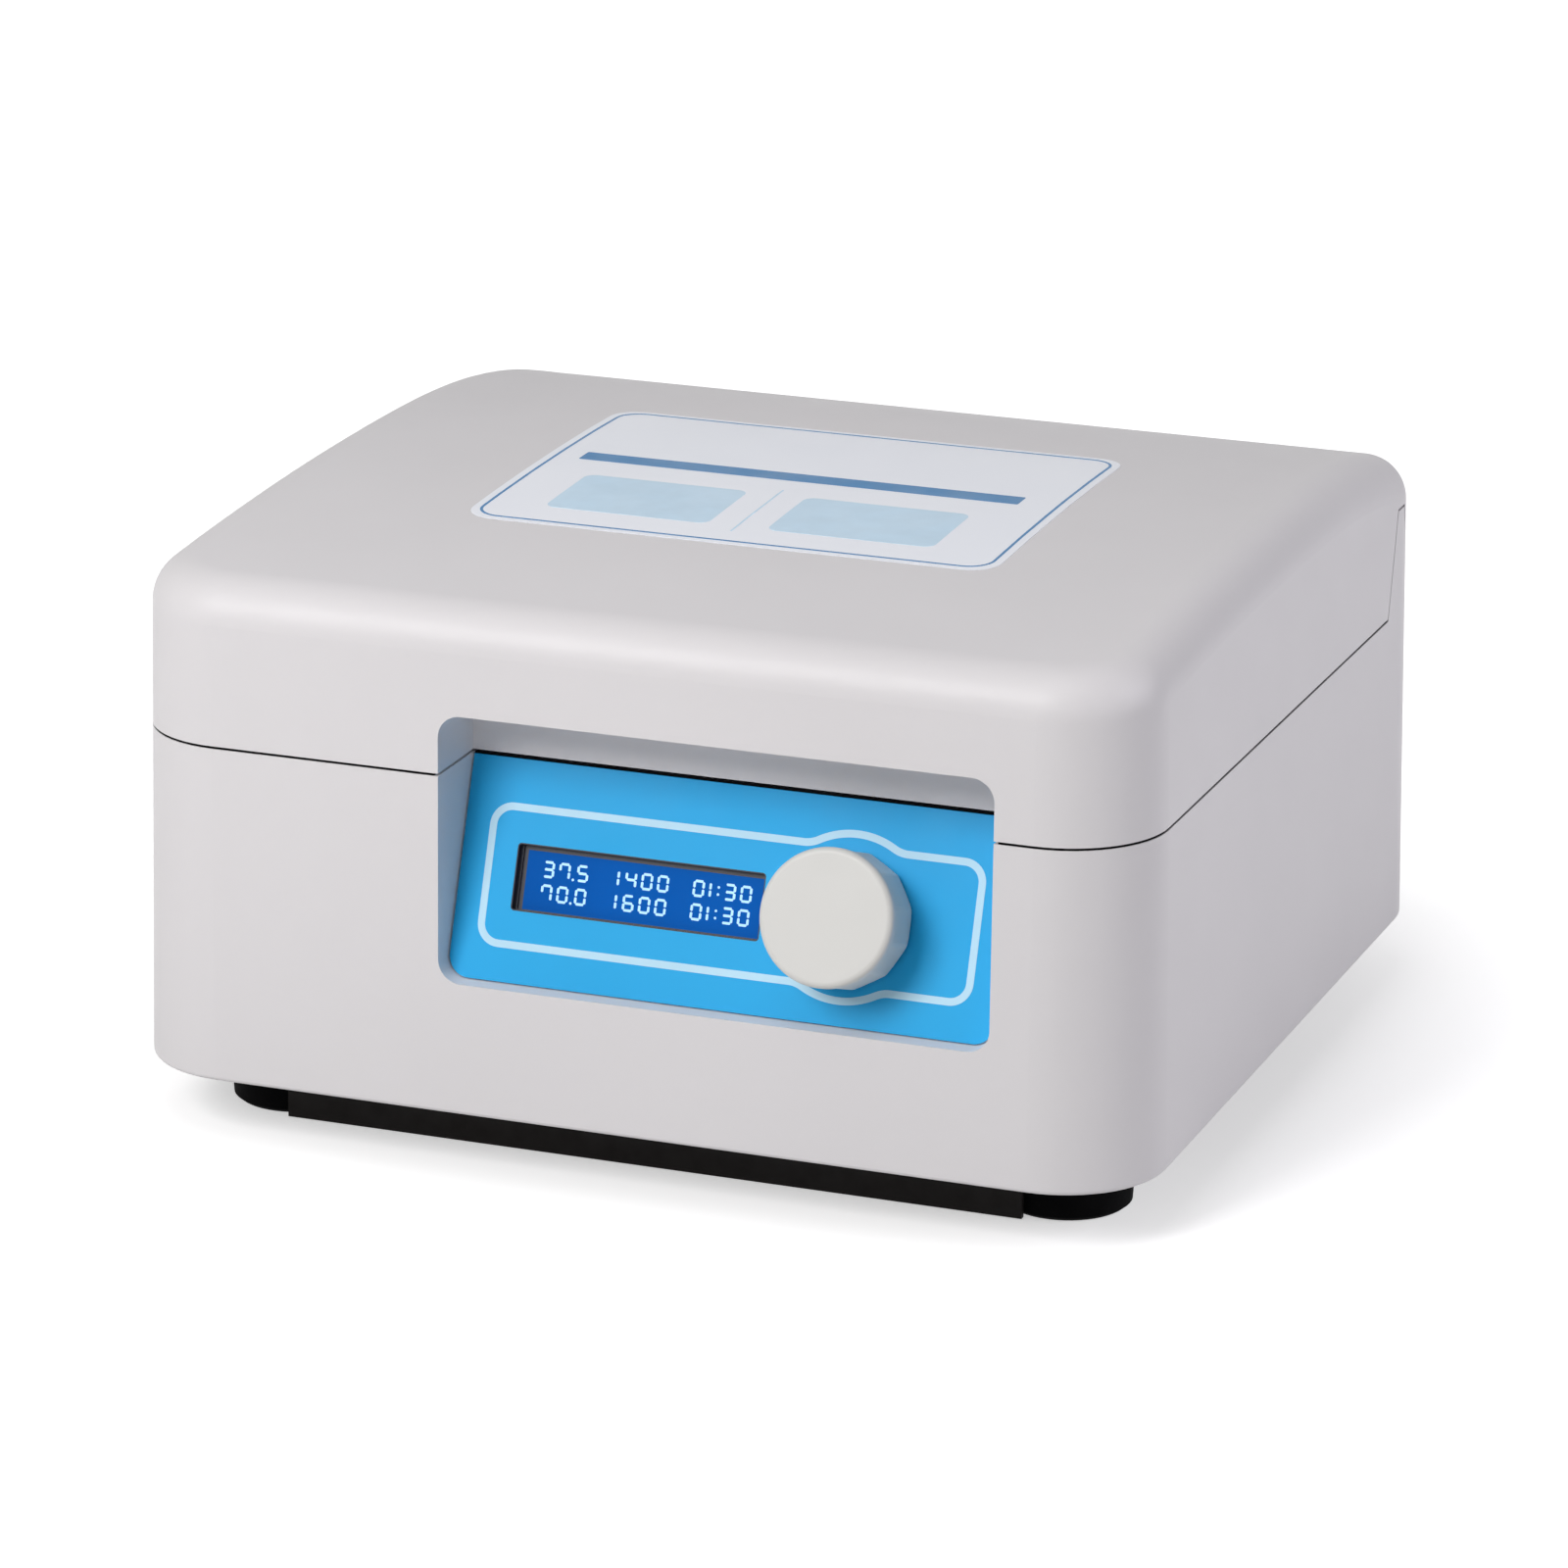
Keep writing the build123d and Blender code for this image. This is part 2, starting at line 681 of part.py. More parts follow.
nest_width = plate_width + 2 * plate_clearance
nest_length = plate_length + 2 * plate_clearance
platform_width = 2 * (nest_width + platform_side) + platform_mid
platform_length = platform_side + nest_length + clamp_zone
platform_front = chamber_y - platform_length / 2
nest_y = platform_front + platform_side + nest_length / 2
nest_x = (nest_width + platform_mid) / 2
rim_top = nest_floor + nest_rim
clamp_width = 30.0
clamp_depth = 5.6
clamp_reach = 1.0         # how far a clamp stands into its empty nest
clamp_travel = 2.0
clamp_fit = 0.3
finger_notch = 26.0


def make_platform():
    """Heated block with a nest for each plate, finger notches and two clamp slots."""
    body = plate(platform_width, platform_length, 5, platform_bottom, rim_top, 0, chamber_y)
    body = chamfer(body.faces().sort_by(Axis.Z)[-1].edges(), 0.8)
    for sx in (-1, 1):
        nest = plate(nest_width, nest_length, 3.2, nest_floor, rim_top + 5, sx * nest_x, nest_y)
        body -= nest
        notch = Pos(sx * nest_x, nest_y, rim_top + 1) * Box(nest_width + 40, finger_notch, 8)
        body -= notch
        clamp_y = nest_y + nest_length / 2
        body -= block(sx * nest_x - clamp_width / 2 - clamp_fit,
                      sx * nest_x + clamp_width / 2 + clamp_fit,
                      clamp_y - 1, clamp_y - clamp_reach + clamp_depth + clamp_travel + clamp_fit,
                      nest_floor, rim_top + 5)
    for x, y in standoff:
        body -= post(x, y, platform_bottom - 1, platform_bottom + 8, standoff_bore)
    return body


cover_sheet = 0.8


def make_clamp(sx):
    """Spring-loaded bar with a rounded nose that holds the plate against the front rim."""
    y0 = nest_y + nest_length / 2 - clamp_reach
    x0 = sx * nest_x - clamp_width / 2
    body = block(x0, x0 + clamp_width, y0, y0 + clamp_depth, nest_floor + clamp_fit,
                 rim_top - cover_sheet)
    nose = body.edges().filter_by(Axis.X).group_by(Axis.Y)[0]
    return fillet(nose, 0.9)


def make_clamp_covers():
    """Thin strips screwed over the clamp slots."""
    pieces = []
    y1 = platform_front + platform_length - 0.9
    y0 = nest_y + nest_length / 2 + 0.4
    for sx in (-1, 1):
        x = sx * nest_x
        strip = block(x - clamp_width / 2 - 7, x + clamp_width / 2 + 7, y0, y1,
                      rim_top, rim_top + cover_sheet)
        pieces.append(strip)
    return group(pieces)


mat_size = (136.0, 120.0, 1.5)


def make_heater_mat():
    width, length, sheet = mat_size
    return plate(width, length, 4, platform_bottom - sheet, platform_bottom, 0, chamber_y)


def make_standoffs():
    return group(post(x, y, carrier_bottom + carrier_plate, platform_bottom, standoff_radius,
                      standoff_bore) for x, y in standoff)


# ---------------------------------------------------------------- orbital drive
carrier_top = carrier_bottom + carrier_plate
mech_top = mech_bottom + mech_plate
idlers = [(sx * idler_dx, chamber_y + sy * idler_dy) for sx in (-1, 1) for sy in (-1, 1)]
shaft_x = -orbit_radius   # drive shaft axis; the eccentric pin is over the chamber's middle
eccentric_radius = 4.0
washer = 0.2
carrier_width = 2 * (idler_dx + 22.0)
carrier_length = 2 * (idler_dy + 10.0)
carrier_slot = (34.0, 56.0)
pillar_dx = 82.0
pillar_dy = 50.0
pillar_radius = 6.0
pillar_bore = 2.2
mech_margin = 8.0         # plate beyond the pillars' axes
mech_slot = (30.0, 60.0)
web_low = mech_top + 2.0
web_high = web_low + 4.0


def make_carrier():
    """Plate that the eccentric and the four idlers carry in a circle."""
    body = plate(carrier_width, carrier_length, 10, carrier_bottom, carrier_top, 0, chamber_y)
    body -= post(0, chamber_y, carrier_bottom - 1, carrier_top + 1, bearing_outer)
    for x, y in idlers:
        body -= post(x, y, carrier_bottom - 1, carrier_top + 1, idler_bearing_outer)
    for x, y in standoff:
        body -= post(x, y, carrier_bottom - 1, carrier_top + 1, standoff_bore)
    for sx in (-1, 1):
        body -= plate(*carrier_slot, 6, carrier_bottom - 1, carrier_top + 1, sx * 38, chamber_y)
    return body


def ring(x, y, low, high, outer, inner):
    """Bearing seen from outside: races with a shallow shield groove between them."""
    body = post(x, y, low, high, outer, inner)
    step = (outer - inner) / 4
    for z in (low, high):
        body -= post(x, y, z - 0.4, z + 0.4, outer - step, inner + step)
    return body


def make_carrier_bearings():
    pieces = [ring(0, chamber_y, carrier_bottom, carrier_top, bearing_outer,
                   eccentric_radius + running_fit)]
    for x, y in idlers:
        pieces.append(ring(x, y, carrier_bottom, carrier_top, idler_bearing_outer,
                           pin_radius + running_fit))
    return group(pieces)


def make_mech_plate():
    body = plate(2 * (pillar_dx + mech_margin), 2 * (pillar_dy + mech_margin), 8,
                 mech_bottom, mech_top, 0, chamber_y)
    body -= post(shaft_x, chamber_y, mech_bottom - 1, mech_top + 1, bearing_outer)
    for x, y in idlers:
        body -= post(x - orbit_radius, y, mech_bottom - 1, mech_top + 1, idler_bearing_outer)
    for x, y in pillars:
        body -= post(x, y, mech_bottom - 1, mech_top + 1, pillar_bore)
    for sx in (-1, 1):
        body -= plate(*mech_slot, 6, mech_bottom - 1, mech_top + 1, sx * 42, chamber_y)
    return body


pillars = [(sx * pillar_dx, chamber_y + sy * pillar_dy) for sx in (-1, 1) for sy in (-1, 1)]
pan_top = foot_height + pan_sheet


def make_pillars():
    return group(post(x, y, pan_top, mech_bottom, pillar_radius, pillar_bore)
                 for x, y in pillars)


def make_pillar_screws():
    return group(screw(x, y, mech_top, 14, pillar_bore, 4.0, 2.4, up=False)
                 for x, y in pillars)


def make_base_bearings():
    pieces = [ring(shaft_x, chamber_y, mech_bottom, mech_top, bearing_outer,
                   shaft_radius + running_fit)]
    for x, y in idlers:
        pieces.append(ring(x - orbit_radius, y, mech_bottom, mech_top, idler_bearing_outer,
                           pin_radius + running_fit))
    return group(pieces)


motor_radius = 21.0
motor_low = pan_top + 1.2
crank_radius = 10.0       # disc between the shaft and the eccentric pin
weight_radius = 27.0
weight_clamp = 14.0


def make_motor():
    """Brushless motor hung under the mechanism plate, with its plug housing."""
    can = post(shaft_x, chamber_y, motor_low, mech_bottom, motor_radius)
    can = chamfer(can.faces().sort_by(Axis.Z)[0].edges(), 1.2)
    can += block(shaft_x + motor_radius - 3, shaft_x + motor_radius + 7, chamber_y - 6,
                 chamber_y + 6, mech_bottom - 9, mech_bottom)
    for angle in (45, 135, 225, 315):
        x = shaft_x + 15.5 * cos(radians(angle))
        y = chamber_y + 15.5 * sin(radians(angle))
        can -= post(x, y, motor_low - 1, motor_low + 3, 1.6)
    return can - post(shaft_x, chamber_y, motor_low + 2, mech_bottom + 1,
                      shaft_radius + running_fit)


def make_drive_shaft():
    """Shaft, crank disc and eccentric pin in one turned piece."""
    body = post(shaft_x, chamber_y, motor_low + 2.5, mech_top + washer, shaft_radius)
    body += post(shaft_x, chamber_y, mech_top + washer, web_low, 8.0)
    body += post(shaft_x, chamber_y, web_low, web_high, crank_radius)
    body += post(0, chamber_y, web_high, carrier_bottom - washer, 6.0)
    body += post(0, chamber_y, web_high, carrier_top - 0.5, eccentric_radius)
    return body


def make_counterweight():
    """Half disc clamped round the crank disc, opposite the eccentric pin."""
    body = post(shaft_x, chamber_y, web_low, web_high, weight_radius)
    body -= block(shaft_x + 4, shaft_x + 60, -FAR, FAR, 0, FAR)
    body += post(shaft_x, chamber_y, web_low, web_high, weight_clamp)
    body -= post(shaft_x, chamber_y, web_low - 1, web_high + 1, crank_radius)
    body -= block(shaft_x, shaft_x + 30, chamber_y - 0.6, chamber_y + 0.6, 0, FAR)
    return body


def make_idler(x, y):
    """Eccentric idler: two parallel pins on a short web."""
    low_x = x - orbit_radius
    body = post(low_x, y, mech_bottom + 0.5, web_low, pin_radius)
    body += post(low_x, y, mech_top + washer, web_low, 5.0)
    web = SlotCenterToCenter(orbit_radius, 15.0)
    body += extrude(Pos(x - orbit_radius / 2, y, web_low) * web, amount=web_high - web_low)
    body += post(x, y, web_high, carrier_bottom - washer, 5.0)
    body += post(x, y, web_high, carrier_top - 0.5, pin_radius)
    return body


# ---------------------------------------------------------------- bottom
foot_x = body_width / 2 - 31.0
foot_y = body_depth / 2 - 43.1
foot_radius = 17.8
foot_seat = 11.0          # screw head's seat inside the foot
foot_well = 5.2
foot_bore = 2.0
flange_low = 1.5
flange_x = body_width / 2 - 26.5          # outer faces of the turned-down flanges
flange_y = foot_y + foot_radius - 1.7
flange_gap = 0.6


def make_pan():
    """Sheet bottom with turned-down stiffening flanges between the feet and vent slots."""
    body = tower(foot_height, pan_top, wall + 0.3)
    span_x = foot_x - foot_radius - flange_gap
    span_y = foot_y - foot_radius - flange_gap
    for side in (-1, 1):
        y = side * (flange_y - pan_sheet / 2)
        x = side * (flange_x - pan_sheet / 2)
        body += block(-span_x, span_x, y - pan_sheet / 2, y + pan_sheet / 2,
                      flange_low, foot_height)
        body += block(x - pan_sheet / 2, x + pan_sheet / 2, -span_y, span_y,
                      flange_low, foot_height)
    for i in range(9):
        for x in (-60, 60):
            body -= plate(40, 3, 1.4, foot_height - 1, pan_top + 1, x, 66 + 6 * i - 24)
    for sx in (-1, 1):
        for sy in (-1, 1):
            body -= post(sx * pan_boss_x, sy * pan_boss_y, 0, 20, screw_radius + 0.3)
            body -= post(sx * foot_x, sy * foot_y, 0, 20, foot_bore)
    for x, y in pillars:
        body -= post(x, y, 0, 20, pillar_bore)
    return body


def make_feet():
    profile = make_face(Polyline([
        (foot_bore, foot_seat), (foot_well, foot_seat), (foot_well, 0.0),
        (foot_radius - 2.2, 0.0), (foot_radius - 1.0, 1.0), (foot_radius, foot_height),
        (foot_bore, foot_height),
    ], close=True))
    foot = revolve(Plane.XZ * profile, Axis.Z)
    return group(Pos(sx * foot_x, sy * foot_y, 0) * foot for sx in (-1, 1) for sy in (-1, 1))


def make_foot_screws():
    return group(screw(sx * foot_x, sy * foot_y, foot_seat, 11.0, foot_bore, 4.4, 2.2)
                 for sx in (-1, 1) for sy in (-1, 1))


def make_pan_screws():
    return group(screw(sx * pan_boss_x, sy * pan_boss_y, foot_height, 14.0, screw_radius, 3.4, 1.6)
                 for sx in (-1, 1) for sy in (-1, 1))


bumper_x = gasket_outer[0] / 2 + 7.0
bumper_y = 39.0 - body_depth / 2
bumper_radius = 4.0
bumper_gap = 0.2


def make_bumpers():
    """Rubber stops on the deck that the closed lid rests on."""
    return group(post(sx * bumper_x, bumper_y, deck_top, liner_bottom - bumper_gap, bumper_radius)
                 for sx in (-1, 1))


# ---------------------------------------------------------------- rear
inlet_x = -76.0
inlet_z = 63.0
inlet_flange = (50.0, 24.0, 2.2)
inlet_body = (27.0, 19.8, 21.0)
socket_size = (24.2, 16.6, 16.0)
switch_x = -30.0
switch_z = 63.0
switch_flange = (18.0, 25.0, 1.6)
switch_body = (15.6, 21.6, 17.0)
rocker_width = 11.6
rocker_length = 17.6
rocker_pivot_y = rear_panel_y - 1.5
rocker_tilt = 9.0
fan_x = 62.0
fan_z = 63.0
fan_size = 50.0
fan_depth = 15.0
fan_bore = 23.2
fan_tip = 22.2
fan_hub = 10.5
fan_blades = 7
inlet_screw_dx = 20.0
inlet_screw_radius = 1.75
fan_screw_dx = 20.0


def panel_box(x, z, width, height, y0, y1, corner=0.0):
    """Block or rounded block standing out along Y around a point of the rear panel."""
    outline = RectangleRounded(width, height, corner) if corner else Rectangle(width, height)
    return Pos(x, y1, z) * extrude(Plane.XZ * outline, amount=y1 - y0)


def make_rear_panel():
    x0, x1, z0, z1 = rear_opening
    body = block(x0 - 4, x1 + 4, rear_panel_y - rear_panel_sheet, rear_panel_y, pan_top, z1 + 4)
    y0, y1 = rear_panel_y - 5, rear_panel_y + 1
    body -= panel_box(inlet_x, inlet_z, inlet_body[0], inlet_body[1], y0, y1)
    body -= panel_box(switch_x, switch_z, switch_body[0], switch_body[1], y0, y1)
    for side in (-1, 1):
        body -= rod_y(inlet_x + side * inlet_screw_dx, y0, y1, inlet_z, inlet_screw_radius)
    for i in range(-4, 5):
        half = (1 - (abs(i) / 5.2) ** 2) ** 0.5 * 21
        body -= panel_box(fan_x, fan_z + 5 * i, 2 * half, 2.6, y0, y1, 1.2)
    for i in range(6):
        body -= panel_box(8, fan_z - 12.5 + 5 * i, 26, 2.6, y0, y1, 1.2)
    return body


def make_inlet():
    """Mains inlet: flange, case and a keyed socket well."""
    fw, fh, ft = inlet_flange
    bw, bh, bd = inlet_body
    sw, sh, sd = socket_size
    front = rear_panel_y + ft
    body = panel_box(inlet_x, inlet_z, fw, fh, rear_panel_y, front, 4)
    body += panel_box(inlet_x, inlet_z, bw, bh, rear_panel_y - bd, front)
    key = 4.5
    well = make_face(Polyline([
        (-sw / 2, sh / 2), (sw / 2, sh / 2), (sw / 2, -sh / 2 + key),
        (sw / 2 - key, -sh / 2), (-sw / 2 + key, -sh / 2), (-sw / 2, -sh / 2 + key),
    ], close=True))
    body -= Pos(inlet_x, front, inlet_z) * extrude(Plane.XZ * well, amount=sd)
    for side in (-1, 1):
        body -= rod_y(inlet_x + side * inlet_screw_dx, rear_panel_y - 1, front + 1, inlet_z,
                      inlet_screw_radius)
    return body


def make_inlet_pins():
    sd = socket_size[2]
    y0 = rear_panel_y + inlet_flange[2] - sd
    pieces = []
    for dx, dz in ((-7.0, -1.8), (7.0, -1.8), (0.0, 2.2)):
        pin = panel_box(inlet_x + dx, inlet_z + dz, 2.0, 4.0, y0, y0 + sd - 2.0)
        pieces.append(pin)
    return group(pieces)


def make_inlet_screws():
    pieces = []
    seat = rear_panel_y + inlet_flange[2]
    for side in (-1, 1):
        x = inlet_x + side * inlet_screw_dx
        body = rod_y(x, seat - 8, seat, inlet_z, inlet_screw_radius)
        body += rod_y(x, seat, seat + 1.5, inlet_z, 2.9)
        pieces.append(body - panel_box(x, inlet_z, 4.0, 0.8, seat + 0.8, seat + 2))
    return group(pieces)


def make_switch_frame():
    fw, fh, ft = switch_flange
    bw, bh, bd = switch_body
    front = rear_panel_y + ft
    body = panel_box(switch_x, switch_z, fw, fh, rear_panel_y, front, 1.5)
    body += panel_box(switch_x, switch_z, bw, bh, rear_panel_y - bd, front)
    body -= panel_box(switch_x, switch_z, rocker_width + 0.8, rocker_length + 2.0,
                      front - 11, front + 1)
    body -= rod_x(switch_x - rocker_width / 2 - 1.4, switch_x + rocker_width / 2 + 1.4,
                  rocker_pivot_y, switch_z, 1.2 + running_fit)
    return body


def make_rocker():
    half = rocker_length / 2
    side = make_face(Polyline([
        (3.6, -half), (2.0, 0.0), (3.6, half), (-1.0, half - 1.6), (-3.6, 2.2),
        (-3.6, -2.2), (-1.0, -half + 1.6),
    ], close=True))
    body = extrude(Plane.YZ * side, amount=rocker_width / 2, both=True)
    body += rod_x(-rocker_width / 2 - 1.2, rocker_width / 2 + 1.2, 0, 0, 1.2)
    return Pos(switch_x, rocker_pivot_y, switch_z) * Rot(-rocker_tilt, 0, 0) * body


def make_fan_frame():
    y1 = rear_panel_y - rear_panel_sheet
    y0 = y1 - fan_depth
    body = panel_box(fan_x, fan_z, fan_size, fan_size, y0, y1, 3)
    body -= rod_y(fan_x, y0 - 1, y1 + 1, fan_z, fan_bore)
    body += rod_y(fan_x, y0, y0 + 2.4, fan_z, fan_hub)
    for angle in (45, 135, 225, 315):
        arm = Box(fan_bore * 2 + 2, 2.4, 2.6) & Pos((fan_bore + 8) / 2 + 2, 0, 0) * Box(
            fan_bore - 4, 5, 5)
        body += Pos(fan_x, y0 + 1.2, fan_z) * Rot(0, angle, 0) * arm
    body -= rod_y(fan_x, y0 - 1, y0 + 3, fan_z, 1.5 + running_fit)
    for sx in (-1, 1):
        for sz in (-1, 1):
            body -= rod_y(fan_x + sx * fan_screw_dx, y0 - 1, y1 + 1, fan_z + sz * fan_screw_dx,
                          1.9)
    return body


def make_fan_rotor():
    """Hub with pitched blades, twisted a little from root to tip."""
    y1 = rear_panel_y - rear_panel_sheet - 1.2
    y0 = y1 - (fan_depth - 4.4)
    body = rod_y(fan_x, y0, y1, fan_z, fan_hub - 0.5)
    body += rod_y(fan_x, y0 - 2.6, y0 + 1, fan_z, 1.5)
    mid = (y0 + y1) / 2
    root, tip = fan_hub - 1.5, fan_tip
    for i in range(fan_blades):
        sections = [
            Pos(0, 0, root) * Rot(0, 0, 38) * Rectangle(9.5, 1.2),
            Pos(0, 0, tip) * Rot(0, 0, 26) * Rectangle(12.0, 1.0),
        ]
        blade = loft(sections)
        blade = Rot(0, 360 / fan_blades * i, 0) * blade
        body += Pos(fan_x, mid, fan_z) * (blade & rod_y(0, -5.2, 5.2, 0, fan_tip))
    return body


# ---------------------------------------------------------------- circuit boards
board_sheet = 1.6
board_low = pan_top + 6.0
board_y = body_depth / 2 - 40.0
power_board = (-54.0, board_y, 98.0, 48.0)        # middle x, y, width, length
control_board = (0.0, -board_y, 112.0, 44.0)


def board_corners(spec):
    x, y, width, length = spec
    return [(x + sx * (width / 2 - 4), y + sy * (length / 2 - 4))
            for sx in (-1, 1) for sy in (-1, 1)]


def board_blank(spec):
    x, y, width, length = spec
    body = plate(width, length, 1.5, board_low, board_low + board_sheet, x, y)
    for cx, cy in board_corners(spec):
        body -= post(cx, cy, board_low - 1, board_low + 3, 1.6)
    return body


def make_power_board():
    x, y, width, length = power_board
    top = board_low + board_sheet
    body = board_blank(power_board)
    body += block(x - 22, x + 6, y - 18, y + 8, top, top + 22)
    body += post(x + 24, y - 10, top, top + 27, 9.0)
    body += post(x + 40, y + 8, top, top + 14, 5.0)
    body += block(x - 44, x - 40, y - 14, y + 12, top, top + 24)
    for i in range(5):
        body += block(x - 40, x - 32, y - 14 + 6 * i, y - 12.6 + 6 * i, top, top + 24)
    return body


def make_control_board():
    x, y, width, length = control_board
    top = board_low + board_sheet
    body = board_blank(control_board)
    body += block(x - 8, x + 8, y - 8, y + 8, top, top + 1.4)
    for i in range(3):
        body += block(x - 44 + 16 * i, x - 33 + 16 * i, y + 12, y + 18, top, top + 7)
    for i in range(3):
        body += block(x + 22 + 10 * i, x + 28 + 10 * i, y - 10, y - 4, top, top + 9)
    return body


def make_board_standoffs():
    pieces = []
    for spec in (power_board, control_board):
        for cx, cy in board_corners(spec):
            pieces.append(post(cx, cy, pan_top, board_low, 3.2, 1.2))
    return group(pieces)


# ---------------------------------------------------------------- all pieces
def all_pieces():
    pieces = {
        "base_housing": make_housing(),
        "bottom_pan": make_pan(),
        "rubber_feet": make_feet(),
        "foot_screws": make_foot_screws(),
        "pan_screws": make_pan_screws(),
        "lid_bumpers": make_bumpers(),
        "panel_overlay": make_overlay(),
        "display_frame": make_display_frame(),
        "display_glass": make_display_glass(),
        "display_board": make_display_board(),
        "display_spacers": make_display_spacers(),
        "encoder_case": make_encoder(),
        "encoder_nut": make_encoder_nut(),
        "encoder_plunger": make_plunger(),
        "knob_shaft": make_knob_shaft(),
        "control_knob": make_knob(),
        "chamber_tray": make_tray(),
        "chamber_foam": make_chamber_foam(),
        "heated_platform": make_platform(),
        "plate_clamp_left": make_clamp(-1),
        "plate_clamp_right": make_clamp(1),
        "clamp_covers": make_clamp_covers(),
        "heater_mat": make_heater_mat(),
        "platform_standoffs": make_standoffs(),
        "orbit_carrier": make_carrier(),
        "carrier_bearings": make_carrier_bearings(),
        "mechanism_plate": make_mech_plate(),
        "mechanism_pillars": make_pillars(),
        "pillar_screws": make_pillar_screws(),
        "base_bearings": make_base_bearings(),
        "drive_motor": make_motor(),
        "drive_shaft": make_drive_shaft(),
        "counterweight": make_counterweight(),
        "rear_panel": make_rear_panel(),
        "power_inlet": make_inlet(),
        "inlet_pins": make_inlet_pins(),
        "inlet_screws": make_inlet_screws(),
        "switch_frame": make_switch_frame(),
        "power_rocker": make_rocker(),
        "fan_frame": make_fan_frame(),
        "fan_rotor": make_fan_rotor(),
        "power_board": make_power_board(),
        "control_board": make_control_board(),
        "board_standoffs": make_board_standoffs(),
        "hinge_pins": make_hinge_pins(),
        "lid_shell": make_lid(),
        "lid_liner": make_liner(),
        "lid_heater_plate": make_lid_heater(),
        "lid_heater_pad": make_lid_insulation(),
        "lid_foam": make_lid_foam(),
        "lid_gasket": make_gasket(),
        "lid_screws": make_lid_screws(),
        "hinge_bushes": make_hinge_bushes(),
    }
    for number, (x, y) in enumerate(idlers, start=1):
        pieces[f"idler_crank_{number}"] = make_idler(x, y)
    return pieces


def place(pieces):
    """Move the whole so that the origin is under the middle of its overall length."""
    boxes = [piece.bounding_box() for piece in pieces.values()]
    middle = (min(box.min.Y for box in boxes) + max(box.max.Y for box in boxes)) / 2
    print("origin shift along Y:", round(-middle, 4))
    return {name: Pos(0, -middle, 0) * piece for name, piece in pieces.items()}


os.makedirs("parts", exist_ok=True)
for name, piece in place(all_pieces()).items():
    export_step(piece, f"parts/{name}.step")
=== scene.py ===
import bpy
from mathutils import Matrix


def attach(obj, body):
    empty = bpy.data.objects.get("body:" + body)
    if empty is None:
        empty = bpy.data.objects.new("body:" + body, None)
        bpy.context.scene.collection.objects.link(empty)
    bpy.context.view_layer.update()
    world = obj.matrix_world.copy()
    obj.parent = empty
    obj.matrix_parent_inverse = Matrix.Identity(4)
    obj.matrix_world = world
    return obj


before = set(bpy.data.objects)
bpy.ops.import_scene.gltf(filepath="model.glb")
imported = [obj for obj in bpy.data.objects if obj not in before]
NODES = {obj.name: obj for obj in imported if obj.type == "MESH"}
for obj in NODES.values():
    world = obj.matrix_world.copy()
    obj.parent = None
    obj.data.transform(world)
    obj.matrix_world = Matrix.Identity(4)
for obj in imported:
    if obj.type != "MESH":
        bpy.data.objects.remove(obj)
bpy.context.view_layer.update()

from math import atan2, cos, pi, radians, sin, sqrt

import bmesh
import bpy
from mathutils import Matrix, Vector
from mathutils.bvhtree import BVHTree
from mathutils.geometry import delaunay_2d_cdt

MM = 0.001

# ---------------------------------------------------------------- camera
CAMERA_AZIMUTH = 20.462
CAMERA_ELEVATION = 17.654
CAMERA_ROLL = 0.389
CAMERA_PLACE = (0.6113, -1.6446, 0.6301)
CAMERA_LENS = 160.21
SENSOR = 36.0

# ---------------------------------------------------------------- printed details, in mm
PANEL_TILT = radians(19.4)
PANEL_MID_Z = 77.2
LINE_LEFT, LINE_RIGHT = -39.3, 90.4
LINE_LOW, LINE_HIGH = -17.2, 17.4
LINE_CORNER = 5.0
LINE_WIDTH = 1.9
KNOB_X, KNOB_S = 56.9, 0.2
BULGE_RADIUS = 20.7
BULGE_BLEND = 8.0
PRINT_RISE, PRINT_DEPTH = 0.06, 0.05  # printed line over and under the overlay's face

# figures on the display: each row has its foot and its groups of figures with their left ends
DIGIT_WIDTH, DIGIT_HEIGHT, DIGIT_STROKE = 3.1, 4.3, 0.66
DIGIT_GAP = 1.2
DOT_GAP = 0.55
ONE_GAP = 0.3                         # extra space after a one
COLON_REACH = 0.9                     # a colon's dots above and below the middle
DOT_SWELL = 1.05                      # a dot's radius in half strokes
SEGMENT_GAP = 0.09                    # space at each end of a segment
SEGMENT_POINT = 0.7                   # length of its pointed end in half strokes
DIGIT_RISE, DIGIT_DEPTH = 0.05, 0.03
ROWS = (
    (0.55, (("37.5", -25.6), ("1400", -5.6), ("01:30", 14.7))),
    (-5.35, (("70.0", -25.5), ("1600", -5.6), ("01:30", 14.7))),
)

# window of the overlay with the shield that lines it, and the mask on the glass behind it
DISPLAY_X = 1.2
WINDOW = (66.5, 17.1)
SHIELD_WALL = 0.26
SHIELD_FIT, SHIELD_CORNER, SHIELD_FRONT = 0.02, 0.8, 0.1
MASK = (1.1, 0.25, 0.1, 1.15)         # left, low, right and top strips
MASK_TUCK_X, MASK_TUCK_S = 1.0, 0.35  # how far the strips stay inside the window
MASK_RISE, MASK_DEPTH = 0.04, 0.02

# housing: its outer side at the foot and the draft, as the slope of the walls
ROW_SHIFT = 3.4657                    # housing's middle along Y
SIDE_FOOT, SIDE_FOOT_Z, SIDE_DRAFT = 136.5, 17.0, 0.017455

